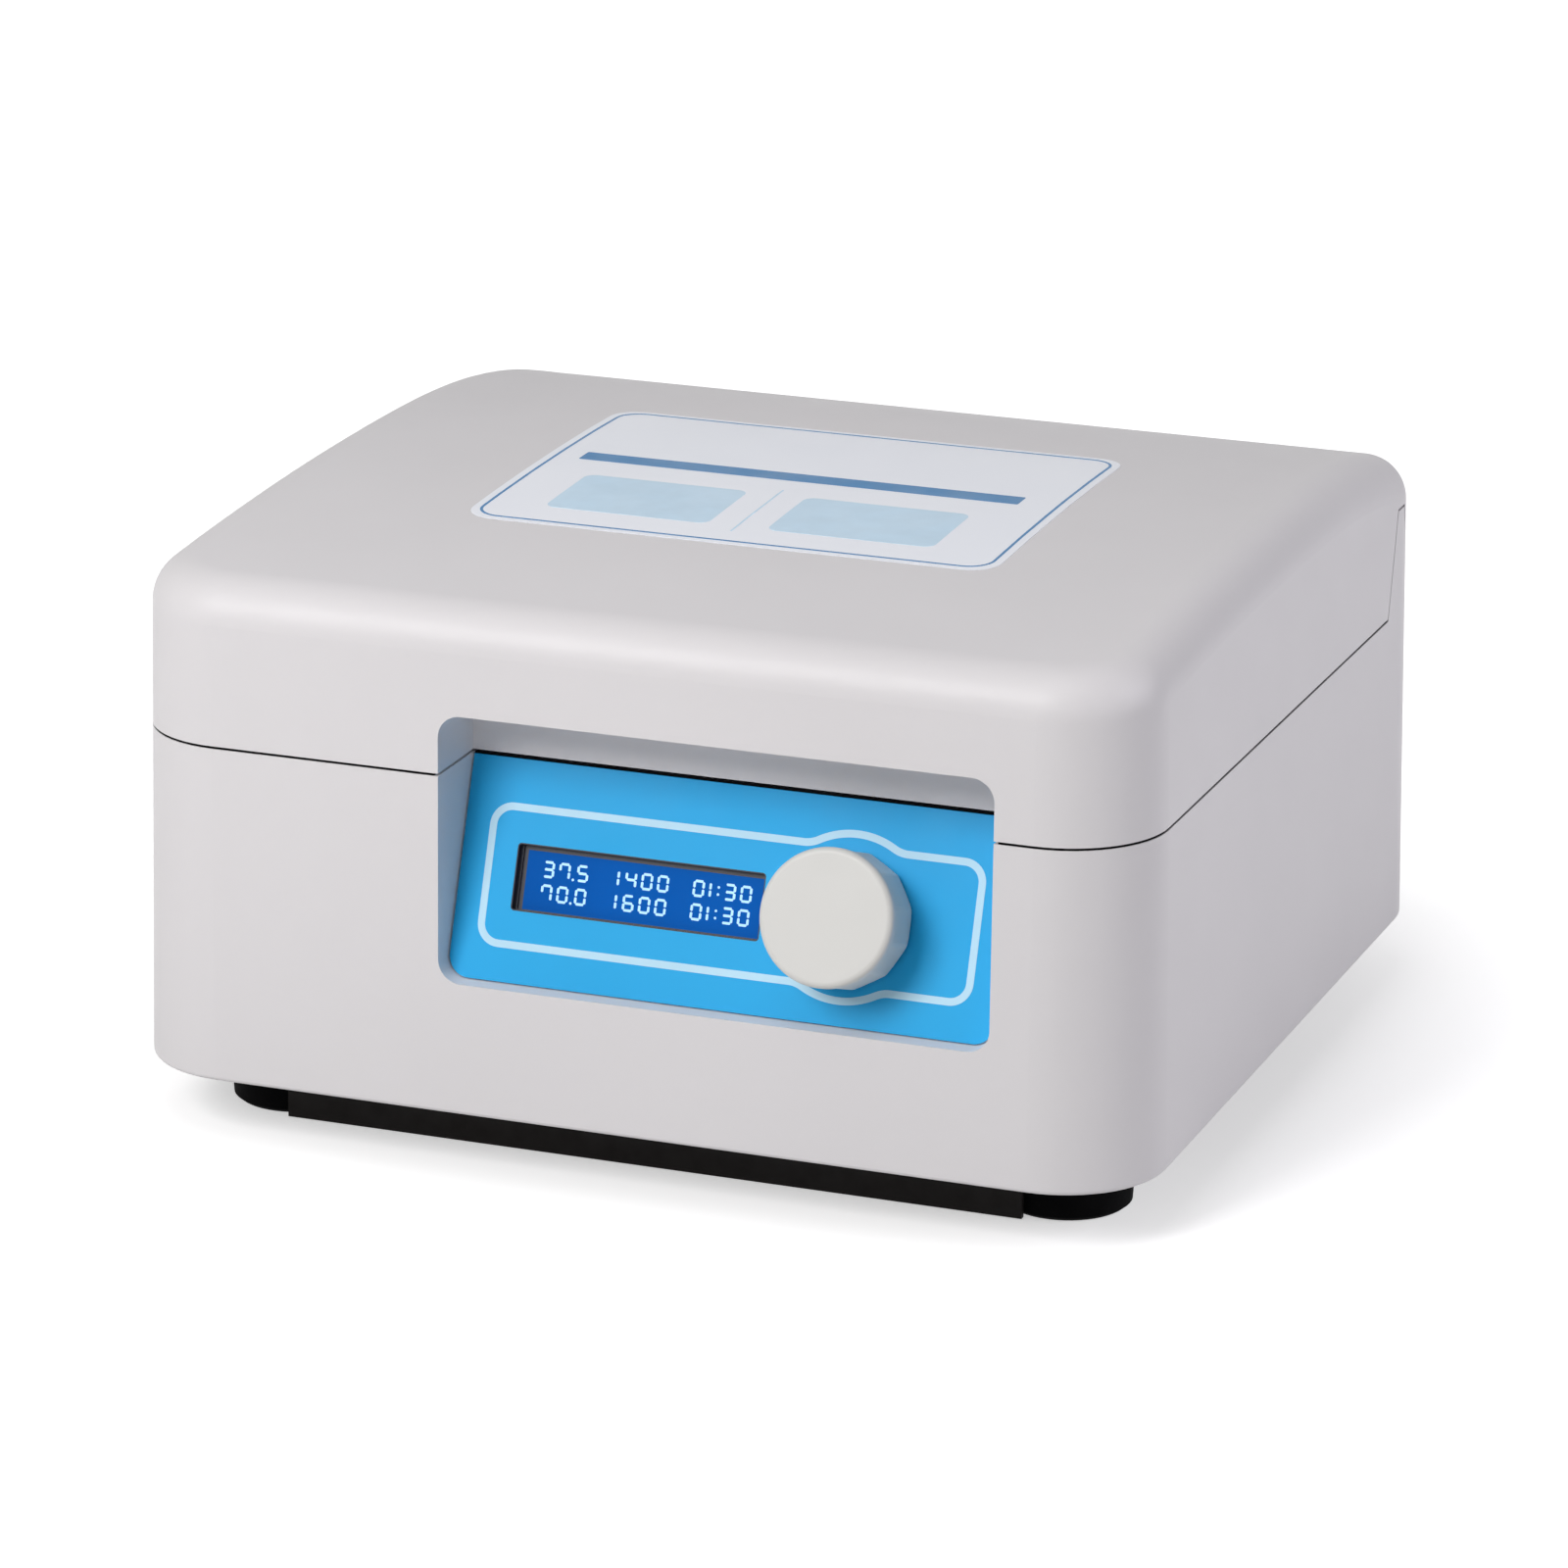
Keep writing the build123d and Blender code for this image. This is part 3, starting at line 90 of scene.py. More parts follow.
# black rubber strips in the parting line, and at the head of the panel, where s runs up the
# panel: they stand in for the shade in the seam's gap (painted shade)
RIM_X, RIM_Y, RIM_CORNER = 134.15, 128.65, 25.15
SEAM_SHADE_LEFT, SEAM_SHADE_RIGHT, SEAM_SHADE_REAR = -48.3, 99.9, 90.8
SEAM_SHADE_WIDTH = 1.0
SEAM_SHADE_LOW, SEAM_SHADE_TOP = 105.3, 105.9
SLANT_SHADE = ((90.81, 105.9), (91.15, 105.9), (99.57, 133.3), (99.23, 133.3))   # (y, z)
SLANT_INSET = 0.3
HEAD_SHADE = (-46.7, 98.3, 29.3, 30.2)
HEAD_SHADE_FRONT, HEAD_SHADE_BACK = 0.3, 2.6

# bottom pan's flange ends and the dark strip in front of its front flange: dark sheets down to
# the bench that stand in for the shadow under the body (painted shadow)
FLANGE_SHADE_END = (87.0, 94.6)
FLANGE_Y, FLANGE_SHEET = 104.0, 1.5
FLANGE_LOW, FLANGE_TOP = 1.5, 17.1
SHADE_STRIP_X, SHADE_STRIP_Y = 100.0, (-106.6, -104.9)
SHADE_STRIP_LOW, SHADE_STRIP_TOP = 0.3, 17.0

# label on the lid
LABEL_MIN = (-69.5, -58.0)
LABEL_MAX = (74.3, 52.5)
LABEL_CORNER = 8.0
LABEL_INSET = 2.4
LABEL_LINE = 0.75
LABEL_BAR = (-60.3, 61.6, -0.9, 6.0)  # x from and to, then y
LABEL_BAR_CORNER = 0.6
FIELD_INSET, FIELD_LOW, FIELD_HIGH, FIELD_CORNER = 8.0, -44.0, -14.0, 3.0
RULE_HALF, RULE_LOW, RULE_HIGH, RULE_CORNER = 0.25, -48.0, -10.0, 0.2
LABEL_THICK = 0.16
FILM_SHARE = 0.9                      # of the label's thickness that is film
INK_RISE, INK_DEPTH, INK_THICK = 0.05, 0.04, 0.08
SHARP_EDGE = radians(30)

# ---------------------------------------------------------------- stage, in m
GLOW_NEAR, GLOW_FAR = 0.12, 0.30      # floor turns to plain white between these radii
GLOW_LOW = 0.5
FLOOR_RADIUS = 6.0
SKY = (0.985, 0.985, 1.0, 1)
SKY_LEVEL = 0.07
LAMP_AIM = (0, 0, 0.08)
LAMPS = (                             # name, place, size, power and colour
    ("key", (-0.4, -1.1, 0.9), 0.6, 13.0, (1.0, 0.982, 0.985)),
    ("side", (2.0, 0.3, 1.0), 1.2, 17.9, (0.94, 0.915, 1.0)),
    ("over", (0.0, -0.5, 1.3), 0.7, 2.4, (1.0, 1.0, 1.0)),
)


# ---------------------------------------------------------------- material helpers
def srgb(r, g, b):
    """Linear colour from the 0-255 values that a render shows."""
    def line(c):
        c /= 255
        return c / 12.92 if c <= 0.04045 else ((c + 0.055) / 1.055) ** 2.4
    return (line(r), line(g), line(b), 1.0)


class Shader:
    """A Principled material with object-space texture coordinates."""

    def __init__(self, name):
        self.material = bpy.data.materials.new(name)
        self.material.use_nodes = True
        self.tree = self.material.node_tree
        self.bsdf = self.tree.nodes["Principled BSDF"]
        self.place = self.add("ShaderNodeTexCoord").outputs["Object"]

    def add(self, kind, **values):
        node = self.tree.nodes.new(kind)
        for key, value in values.items():
            setattr(node, key, value)
        return node

    def link(self, a, b):
        self.tree.links.new(a, b)

    def set(self, **values):
        for key, value in values.items():
            self.bsdf.inputs[key.replace("_", " ")].default_value = value
        return self

    def noise(self, scale, detail=2.0, rough=0.5, stretch=None):
        node = self.add("ShaderNodeTexNoise")
        node.inputs["Scale"].default_value = scale
        node.inputs["Detail"].default_value = detail
        node.inputs["Roughness"].default_value = rough
        place = self.place
        if stretch:
            mapping = self.add("ShaderNodeMapping")
            mapping.inputs["Scale"].default_value = stretch
            self.link(place, mapping.inputs["Vector"])
            place = mapping.outputs["Vector"]
        self.link(place, node.inputs["Vector"])
        return node.outputs["Fac"]

    def ramp(self, fac, low, high, dark, light):
        """Colour that runs from dark to light as fac goes from low to high."""
        node = self.add("ShaderNodeValToRGB")
        node.color_ramp.elements[0].position = low
        node.color_ramp.elements[1].position = high
        node.color_ramp.elements[0].color = dark
        node.color_ramp.elements[1].color = light
        self.link(fac, node.inputs["Fac"])
        return node.outputs["Color"]

    def spread(self, fac, low, high):
        """Number that runs from low to high with fac."""
        node = self.add("ShaderNodeMapRange")
        node.inputs["From Min"].default_value = 0.3
        node.inputs["From Max"].default_value = 0.7
        node.inputs["To Min"].default_value = low
        node.inputs["To Max"].default_value = high
        self.link(fac, node.inputs["Value"])
        return node.outputs["Result"]

    def tint(self, colour, amount, fac):
        """Base colour that varies by amount around colour."""
        dark = tuple(c * (1 - amount) for c in colour[:3]) + (1.0,)
        light = tuple(min(1.0, c * (1 + amount)) for c in colour[:3]) + (1.0,)
        out = self.ramp(fac, 0.3, 0.7, dark, light)
        self.link(out, self.bsdf.inputs["Base Color"])
        return self

    def rough(self, low, high, fac):
        self.link(self.spread(fac, low, high), self.bsdf.inputs["Roughness"])
        return self

    def bump(self, fac, strength, depth):
        node = self.add("ShaderNodeBump")
        node.inputs["Strength"].default_value = strength
        node.inputs["Distance"].default_value = depth
        self.link(fac, node.inputs["Height"])
        self.link(node.outputs["Normal"], self.bsdf.inputs["Normal"])
        return self


def shown_rays(tree):
    """1 for the rays that show the background: camera, glossy and transmission rays."""
    rays = tree.nodes.new("ShaderNodeLightPath")
    shown = rays.outputs["Is Camera Ray"]
    for kind in ("Is Glossy Ray", "Is Transmission Ray"):
        either = tree.nodes.new("ShaderNodeMath")
        either.operation = "MAXIMUM"
        tree.links.new(shown, either.inputs[0])
        tree.links.new(rays.outputs[kind], either.inputs[1])
        shown = either.outputs[0]
    return shown


# ---------------------------------------------------------------- materials
def housing_plastic():
    """Warm-grey moulded plastic with a fine spark-eroded grain and a low sheen."""
    s = Shader("housing_plastic")
    s.set(Specular_IOR_Level=0.42, Coat_Weight=0.04, Coat_Roughness=0.35)
    s.tint(srgb(221, 219, 220), 0.012, s.noise(14.0, 3.0))
    s.rough(0.46, 0.5, s.noise(60.0, 2.0))
    return s.bump(s.noise(2600.0, 3.0, 0.6), 0.16, 0.00005).material


def liner_plastic():
    """Matt light-grey inner shell."""
    s = Shader("liner_plastic")
    s.set(Specular_IOR_Level=0.45)
    s.tint(srgb(206, 206, 208), 0.015, s.noise(18.0, 3.0))
    s.rough(0.38, 0.5, s.noise(50.0))
    return s.bump(s.noise(2000.0, 2.0), 0.12, 0.00005).material


def overlay_film():
    """Printed polyester overlay: sky blue under a satin film."""
    s = Shader("overlay_film")
    s.set(Specular_IOR_Level=0.24)
    s.tint(srgb(30, 171, 232), 0.025, s.noise(22.0, 3.0))
    s.rough(0.36, 0.46, s.noise(70.0))
    return s.bump(s.noise(3200.0, 2.0), 0.08, 0.00003).material


def printed_white():
    """Pale ink under the overlay's film."""
    s = Shader("printed_white")
    s.set(Specular_IOR_Level=0.3)
    s.tint(srgb(190, 229, 248), 0.015, s.noise(90.0))
    return s.rough(0.36, 0.46, s.noise(70.0)).material


def display_black():
    """Black mask of the display, with a blue cast from the lit glass."""
    s = Shader("display_black")
    s.set(Specular_IOR_Level=0.5)
    s.tint(srgb(8, 14, 34), 0.1, s.noise(60.0))
    s.rough(0.3, 0.42, s.noise(120.0))
    return s.bump(s.noise(1500.0), 0.08, 0.00004).material


def display_blue():
    """Back-lit liquid crystal: deep blue with a slightly uneven glow."""
    s = Shader("display_blue")
    s.set(Specular_IOR_Level=0.08, Emission_Strength=0.16)
    glow = s.noise(28.0, 1.0)
    s.tint(srgb(0, 86, 170), 0.06, glow)
    cells = s.noise(2400.0, 1.0)
    shine = s.ramp(glow, 0.3, 0.7, srgb(0, 74, 166), srgb(4, 98, 196))
    s.link(shine, s.bsdf.inputs["Emission Color"])
    return s.rough(0.12, 0.2, cells).material


def display_segments():
    """Lit segments, pale blue."""
    s = Shader("display_segments")
    s.set(Specular_IOR_Level=0.4, Emission_Strength=0.3)
    s.tint(srgb(176, 222, 250), 0.03, s.noise(300.0))
    glow = s.ramp(s.noise(300.0), 0.3, 0.7, srgb(150, 208, 244), srgb(184, 230, 255))
    s.link(glow, s.bsdf.inputs["Emission Color"])
    return s.rough(0.3, 0.4, s.noise(200.0)).material


def knob_plastic():
    """Satin off-white plastic."""
    s = Shader("knob_plastic")
    s.set(Specular_IOR_Level=0.42, Coat_Weight=0.05, Coat_Roughness=0.3)
    s.tint(srgb(214, 214, 210), 0.012, s.noise(30.0))
    s.rough(0.4, 0.5, s.noise(90.0))
    return s.bump(s.noise(2600.0, 3.0, 0.6), 0.12, 0.00004).material


def black_rubber():
    """Dull black rubber of feet and seals."""
    s = Shader("black_rubber")
    s.set(Specular_IOR_Level=0.06)
    s.tint(srgb(4, 4, 5), 0.18, s.noise(70.0, 3.0))
    s.rough(0.72, 0.88, s.noise(90.0))
    return s.bump(s.noise(1400.0, 3.0), 0.25, 0.0001).material


def silicone():
    s = Shader("silicone")
    s.set(Specular_IOR_Level=0.4)
    s.tint(srgb(196, 92, 62), 0.05, s.noise(60.0))
    s.rough(0.5, 0.62, s.noise(80.0))
    return s.bump(s.noise(900.0), 0.15, 0.0001).material


def gasket_silicone():
    s = Shader("gasket_silicone")
    s.set(Specular_IOR_Level=0.4)
    s.tint(srgb(66, 68, 72), 0.06, s.noise(60.0))
    s.rough(0.5, 0.64, s.noise(80.0))
    return s.bump(s.noise(900.0), 0.15, 0.0001).material


def dark_sheet():
    """Powder-coated sheet: near black with the coat's orange peel. Its brown-black is partly the
    pan's own coat and partly a painted shadow: it matches the shade under the body that the pan's
    flanges and the dark strips stand in for.
    """
    s = Shader("dark_sheet")
    s.set(Specular_IOR_Level=0.14)
    # brown-black set to the shade under the body: painted shadow on the flanges and the dark
    # strips
    s.tint(srgb(25, 22, 21), 0.1, s.noise(40.0, 3.0))
    s.rough(0.5, 0.66, s.noise(200.0))
    return s.bump(s.noise(900.0, 2.0), 0.3, 0.00012).material


def brushed(name, colour, stretch, low, high):
    """Bare metal with the scratches of its finish along one direction."""
    s = Shader(name)
    s.set(Metallic=1.0)
    lines = s.noise(220.0, 4.0, 0.6, stretch)
    s.tint(colour, 0.06, lines)
    s.rough(low, high, lines)
    return s.bump(lines, 0.12, 0.00004).material


def steel():
    return brushed("steel", srgb(196, 197, 199), (0.25, 8.0, 8.0), 0.24, 0.4)


def tray_steel():
    return brushed("tray_steel", srgb(206, 207, 208), (0.2, 9.0, 9.0), 0.3, 0.44)


def aluminium():
    return brushed("aluminium", srgb(203, 205, 208), (6.0, 0.25, 6.0), 0.32, 0.46)


def brass():
    return brushed("brass", srgb(208, 178, 110), (4.0, 0.6, 4.0), 0.26, 0.4)


def anodised_block():
    """Heated platform: bead-blasted aluminium, anodised silver-grey."""
    s = Shader("anodised_block")
    s.set(Metallic=0.85)
    s.tint(srgb(186, 189, 193), 0.04, s.noise(26.0, 3.0))
    s.rough(0.4, 0.52, s.noise(120.0))
    return s.bump(s.noise(3000.0, 2.0), 0.14, 0.00005).material


def black_plastic():
    s = Shader("black_plastic")
    s.set(Specular_IOR_Level=0.42)
    s.tint(srgb(30, 30, 32), 0.1, s.noise(50.0))
    s.rough(0.42, 0.56, s.noise(90.0))
    return s.bump(s.noise(1800.0, 2.0), 0.14, 0.00006).material


def foam():
    s = Shader("foam")
    s.set(Specular_IOR_Level=0.2)
    s.tint(srgb(214, 210, 200), 0.08, s.noise(420.0, 3.0))
    s.rough(0.85, 0.95, s.noise(200.0))
    return s.bump(s.noise(1100.0, 3.0), 0.5, 0.0004).material


def circuit():
    """Solder mask over copper: green with faint routed tracks."""
    s = Shader("circuit")
    s.set(Specular_IOR_Level=0.5)
    tracks = s.noise(260.0, 1.0, 0.5, (1.0, 0.25, 1.0))
    s.tint(srgb(22, 92, 58), 0.22, tracks)
    s.rough(0.28, 0.42, s.noise(150.0))
    return s.bump(tracks, 0.1, 0.00004).material


def label_film():
    s = Shader("label_film")
    s.set(Specular_IOR_Level=0.5)
    s.tint(srgb(244, 248, 255), 0.008, s.noise(40.0))
    return s.rough(0.3, 0.4, s.noise(80.0)).material


def label_ink():
    s = Shader("label_ink")
    s.set(Specular_IOR_Level=0.3)
    s.tint(srgb(34, 122, 178), 0.04, s.noise(120.0))
    return s.rough(0.32, 0.42, s.noise(80.0)).material


def label_pale():
    s = Shader("label_pale")
    s.set(Specular_IOR_Level=0.5)
    s.tint(srgb(198, 227, 246), 0.03, s.noise(120.0))
    return s.rough(0.32, 0.42, s.noise(80.0)).material


def floor_material():
    """Pale floor that glows to white away from the object and keeps its soft shadow."""
    s = Shader("floor")
    s.set(Specular_IOR_Level=0.0, Roughness=0.9)
    s.tint(srgb(226, 226, 226), 0.004, s.noise(3.0))
    away = s.add("ShaderNodeVectorMath", operation="LENGTH")
    s.link(s.place, away.inputs[0])
    level = s.add("ShaderNodeMapRange", interpolation_type="SMOOTHSTEP")
    level.inputs["From Min"].default_value = GLOW_NEAR
    level.inputs["From Max"].default_value = GLOW_FAR
    level.inputs["To Min"].default_value = GLOW_LOW
    level.inputs["To Max"].default_value = 1.0
    s.link(away.outputs["Value"], level.inputs["Value"])
    glow = s.add("ShaderNodeEmission")
    s.link(level.outputs["Result"], glow.inputs["Strength"])
    both = s.add("ShaderNodeAddShader")
    s.link(s.bsdf.outputs[0], both.inputs[0])
    s.link(glow.outputs[0], both.inputs[1])
    mix = s.add("ShaderNodeMixShader")
    s.link(shown_rays(s.tree), mix.inputs[0])
    s.link(s.bsdf.outputs[0], mix.inputs[1])
    s.link(both.outputs[0], mix.inputs[2])
    s.link(mix.outputs[0], s.tree.nodes["Material Output"].inputs["Surface"])
    return s.material


# ---------------------------------------------------------------- mesh helpers
def new_piece(name, mesh_data, material, body):
    """Object that shows one mesh and rides on a body."""
    obj = bpy.data.objects.new(name, mesh_data)
    bpy.context.scene.collection.objects.link(obj)
    mesh_data.materials.append(material)
    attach(obj, body)
    return obj


def offset_loop(points, distance, closed=True):
    """2-D loop or open path moved sideways by distance, to the left of its direction."""
    count = len(points)
    out = []
    for i, (x, y) in enumerate(points):
        ax, ay = points[i - 1] if closed or i else points[0]
        bx, by = points[(i + 1) % count] if closed or i < count - 1 else points[-1]
        dx, dy = bx - ax, by - ay
        size = sqrt(dx * dx + dy * dy)
        out.append((x - dy / size * distance, y + dx / size * distance))
    return out


def arc(cx, cy, radius, start, end, steps=12):
    """Points on an arc, angles in degrees."""
    angles = [radians(start + (end - start) * i / steps) for i in range(steps + 1)]
    return [(cx + radius * cos(a), cy + radius * sin(a)) for a in angles]


def rounded_loop(x0, y0, x1, y1, radius, step=4.0):
    """Rounded rectangle, counter-clockwise, with its straights cut into short steps."""
    corners = [(x1 - radius, y0 + radius, -90), (x1 - radius, y1 - radius, 0),
               (x0 + radius, y1 - radius, 90), (x0 + radius, y0 + radius, 180)]
    points = []
    for cx, cy, start in corners:
        points += arc(cx, cy, radius, start, start + 90, 8)
    return densify(points, step)


def densify(points, step):
    """Closed loop with its long sides cut into pieces of about step."""
    out = []
    for i, (ax, ay) in enumerate(points):
        bx, by = points[(i + 1) % len(points)]
        pieces = max(1, int(sqrt((bx - ax) ** 2 + (by - ay) ** 2) / step))
        out += [(ax + (bx - ax) * k / pieces, ay + (by - ay) * k / pieces) for k in range(pieces)]
    return out


def ribbon_mesh(name, loop, width, place_top, place_low, closed=True):
    """Flat band along a loop or an open path, with both faces, both edges and its ends."""
    left = offset_loop(loop, width / 2, closed)
    right = offset_loop(loop, -width / 2, closed)
    mesh = bmesh.new()
    rings = [[mesh.verts.new(place(p)) for p in side]
             for side, place in ((left, place_top), (right, place_top),
                                 (right, place_low), (left, place_low))]
    count = len(loop)
    for i in range(count if closed else count - 1):
        j = (i + 1) % count
        for a, b in ((0, 1), (1, 2), (2, 3), (3, 0)):
            mesh.faces.new((rings[a][i], rings[b][i], rings[b][j], rings[a][j]))
    if not closed:
        for end in (0, -1):
            mesh.faces.new([ring[end] for ring in rings])
    bmesh.ops.recalc_face_normals(mesh, faces=mesh.faces)
    data = bpy.data.meshes.new(name)
    mesh.to_mesh(data)
    mesh.free()
    return data


def plates_mesh(name, outlines, place_top, place_low):
    """Thin printed shapes: each outline is a 2-D polygon with a top, a foot and an edge."""
    mesh = bmesh.new()
    for outline in outlines:
        top = [mesh.verts.new(place_top(p)) for p in outline]
        low = [mesh.verts.new(place_low(p)) for p in outline]
        mesh.faces.new(top)
        mesh.faces.new(low[::-1])
        count = len(outline)
        for i in range(count):
            j = (i + 1) % count
            mesh.faces.new((top[j], top[i], low[i], low[j]))
    bmesh.ops.recalc_face_normals(mesh, faces=mesh.faces)
    data = bpy.data.meshes.new(name)
    mesh.to_mesh(data)
    mesh.free()
    return data


# ---------------------------------------------------------------- panel print and digits
PANEL_NORMAL = Vector((0, -cos(PANEL_TILT), sin(PANEL_TILT)))
PANEL_UP = Vector((0, sin(PANEL_TILT), cos(PANEL_TILT)))


def face_height(node):
    """How far a node reaches along the panel's normal."""
    return max(PANEL_NORMAL.dot(v.co) for v in NODES[node].data.vertices)


def panel_origin():
    """Point of the overlay's front surface at the display's middle height."""
    z = PANEL_MID_Z * MM
    y = (sin(PANEL_TILT) * z - face_height("panel_overlay")) / cos(PANEL_TILT)
    return Vector((0, y, z))


def panel_place(origin, lift):
    """Maps (x, s) in mm on the panel to a point lift metres above it."""
    def place(p):
        return origin + Vector((p[0] * MM, 0, 0)) + PANEL_UP * (p[1] * MM) + PANEL_NORMAL * lift
    return place


def outline_path():
    """Rounded rectangle that swells round the knob above and below."""
    points = []
    r = LINE_CORNER
    points += arc(LINE_RIGHT - r, LINE_LOW + r, r, -90, 0, 10)
    points += arc(LINE_RIGHT - r, LINE_HIGH - r, r, 0, 90, 10)
    points += bulge(LINE_HIGH - KNOB_S)
    points += arc(LINE_LEFT + r, LINE_HIGH - r, r, 90, 180, 10)
    points += arc(LINE_LEFT + r, LINE_LOW + r, r, 180, 270, 10)
    points += [(2 * KNOB_X - x, 2 * KNOB_S - y) for x, y in bulge(KNOB_S - LINE_LOW)]
    return densify(points, 3.0)


def bulge(height):
    """Right-to-left swelling over a line that runs height above the knob's centre."""
    reach = BULGE_RADIUS + BULGE_BLEND
    up = height + BULGE_BLEND
    side = sqrt(reach ** 2 - up ** 2)
    turn = atan2(up, side) * 180 / pi
    right = arc(KNOB_X + side, KNOB_S + up, BULGE_BLEND, 270, 180 + turn, 8)
    crown = arc(KNOB_X, KNOB_S, BULGE_RADIUS, turn, 180 - turn, 20)
    left = arc(KNOB_X - side, KNOB_S + up, BULGE_BLEND, -turn, -90, 8)
    return right + crown[1:-1] + left


def make_outline(origin, material):
    """Printed white line round the display and the knob."""
    data = ribbon_mesh("panel_outline", outline_path(), LINE_WIDTH,
                       panel_place(origin, PRINT_RISE * MM),
                       panel_place(origin, -PRINT_DEPTH * MM))
    new_piece("panel_outline", data, material, "base")


SEGMENTS = {"0": "abcdef", "1": "bc", "3": "abgcd", "4": "fgbc", "5": "afgcd", "6": "afgcde",
            "7": "fabc"}


def bar(ax, ay, bx, by):
    """Six-cornered segment between two points, pointed at both ends."""
    half = DIGIT_STROKE / 2
    dx, dy = bx - ax, by - ay
    size = sqrt(dx * dx + dy * dy)
    tx, ty = dx / size, dy / size
    nx, ny = -ty * half, tx * half
    ax, ay = ax + tx * SEGMENT_GAP, ay + ty * SEGMENT_GAP
    bx, by = bx - tx * SEGMENT_GAP, by - ty * SEGMENT_GAP
    ix, iy = tx * half * SEGMENT_POINT, ty * half * SEGMENT_POINT
    return [(ax, ay), (ax + ix - nx, ay + iy - ny), (bx - ix - nx, by - iy - ny),
            (bx, by), (bx - ix + nx, by - iy + ny), (ax + ix + nx, ay + iy + ny)]


def digit(char, x, s):
    """Segment outlines of one figure whose foot is at (x, s), and its width."""
    half = DIGIT_STROKE / 2
    low, high = s + half, s + DIGIT_HEIGHT - half
    mid = (low + high) / 2
    if char in ".:":
        dots = [low] if char == "." else [mid - COLON_REACH, mid + COLON_REACH]
        cx = x + half
        return [arc(cx, y, half * DOT_SWELL, 0, 315, 7) for y in dots], 2 * half
    if char == "1":
        cx = x + half
        return [bar(cx, low, cx, mid), bar(cx, mid, cx, high)], 2 * half + ONE_GAP
    left, right = x + half, x + DIGIT_WIDTH - half
    lines = {"a": (left, high, right, high), "b": (right, mid, right, high),
             "c": (right, low, right, mid), "d": (left, low, right, low),
             "e": (left, low, left, mid), "f": (left, mid, left, high),
             "g": (left, mid, right, mid)}
    return [bar(*lines[k]) for k in SEGMENTS[char]], DIGIT_WIDTH


def glass_lift():
    """Distance of the display glass from the overlay's face, along the panel's normal."""
    return face_height("display_glass") - face_height("panel_overlay")


def make_digits(origin, material):
    """Lit figures on the display glass."""
    outlines = []
    for foot, groups in ROWS:
        for text, x in groups:
            for char in text:
                if char == ".":
                    x -= DIGIT_GAP - DOT_GAP
                shapes, width = digit(char, x, foot)
                outlines += shapes
                x += width + (DOT_GAP if char == "." else DIGIT_GAP)
    lift = glass_lift()
    data = plates_mesh("display_digits", outlines, panel_place(origin, lift + DIGIT_RISE * MM),
                       panel_place(origin, lift - DIGIT_DEPTH * MM))
    new_piece("display_digits", data, material, "base")


def make_display_mask(origin, material):
    """Black light shield in the display window and black mask along the glass's edges."""
    x0, x1 = DISPLAY_X - WINDOW[0] / 2, DISPLAY_X + WINDOW[0] / 2
    s0, s1 = -WINDOW[1] / 2, WINDOW[1] / 2
    hug = SHIELD_WALL / 2 + SHIELD_FIT
    sleeve = rounded_loop(x0 + hug, s0 + hug, x1 - hug, s1 - hug, SHIELD_CORNER)
    seat = face_height("display_frame") - face_height("panel_overlay")
    data = ribbon_mesh("window_shield", sleeve, SHIELD_WALL,
                       panel_place(origin, -SHIELD_FRONT * MM), panel_place(origin, seat))
    new_piece("window_shield", data, material, "base")

    left, low, right, high = MASK
    x0, x1 = x0 + MASK_TUCK_X, x1 - MASK_TUCK_X
    s0, s1 = s0 + MASK_TUCK_S, s1 - MASK_TUCK_S
    strips = [(x0, s0, x0 + left, s1), (x0 + left, s1 - high, x1, s1),
              (x0 + left, s0, x1, s0 + low), (x1 - right, s0 + low, x1, s1 - high)]
    outlines = [[(a, b), (c, b), (c, d), (a, d)] for a, b, c, d in strips]
    lift = glass_lift()
    data = plates_mesh("display_mask", outlines, panel_place(origin, lift + MASK_RISE * MM),
                       panel_place(origin, lift - MASK_DEPTH * MM))
    new_piece("display_mask", data, material, "base")


# ---------------------------------------------------------------- seals, skirt and flange ends
def level_place(z):
    """Maps (x, y) in mm from the housing's middle to a point at height z."""
    return lambda p: Vector((p[0] * MM, (p[1] + ROW_SHIFT) * MM, z * MM))


def make_seam_shade(origin, material):
    """Black rubber strip along the housing's rim and along the head of the panel, standing in for
    the shade in the seam's gap (painted shade).
    """
    x, y, r = RIM_X, RIM_Y, RIM_CORNER
    for name, side, stop in (("rim_shade_left", -1, SEAM_SHADE_LEFT), ("rim_shade_right", 1, SEAM_SHADE_RIGHT)):
        path = [(stop, -y)]
        path += [(side * px, py) for px, py in arc(x - r, r - y, r, -90, 0)]
        path.append((side * x, SEAM_SHADE_REAR))
        data = ribbon_mesh(name, path, SEAM_SHADE_WIDTH, level_place(SEAM_SHADE_TOP),
                           level_place(SEAM_SHADE_LOW), closed=False)
        new_piece(name, data, material, "base")
    x0, x1, s0, s1 = HEAD_SHADE
    data = plates_mesh("panel_head_shade", [[(x0, s0), (x1, s0), (x1, s1), (x0, s1)]],
                       panel_place(origin, -HEAD_SHADE_FRONT * MM),
                       panel_place(origin, -HEAD_SHADE_BACK * MM))
    new_piece("panel_head_shade", data, material, "base")


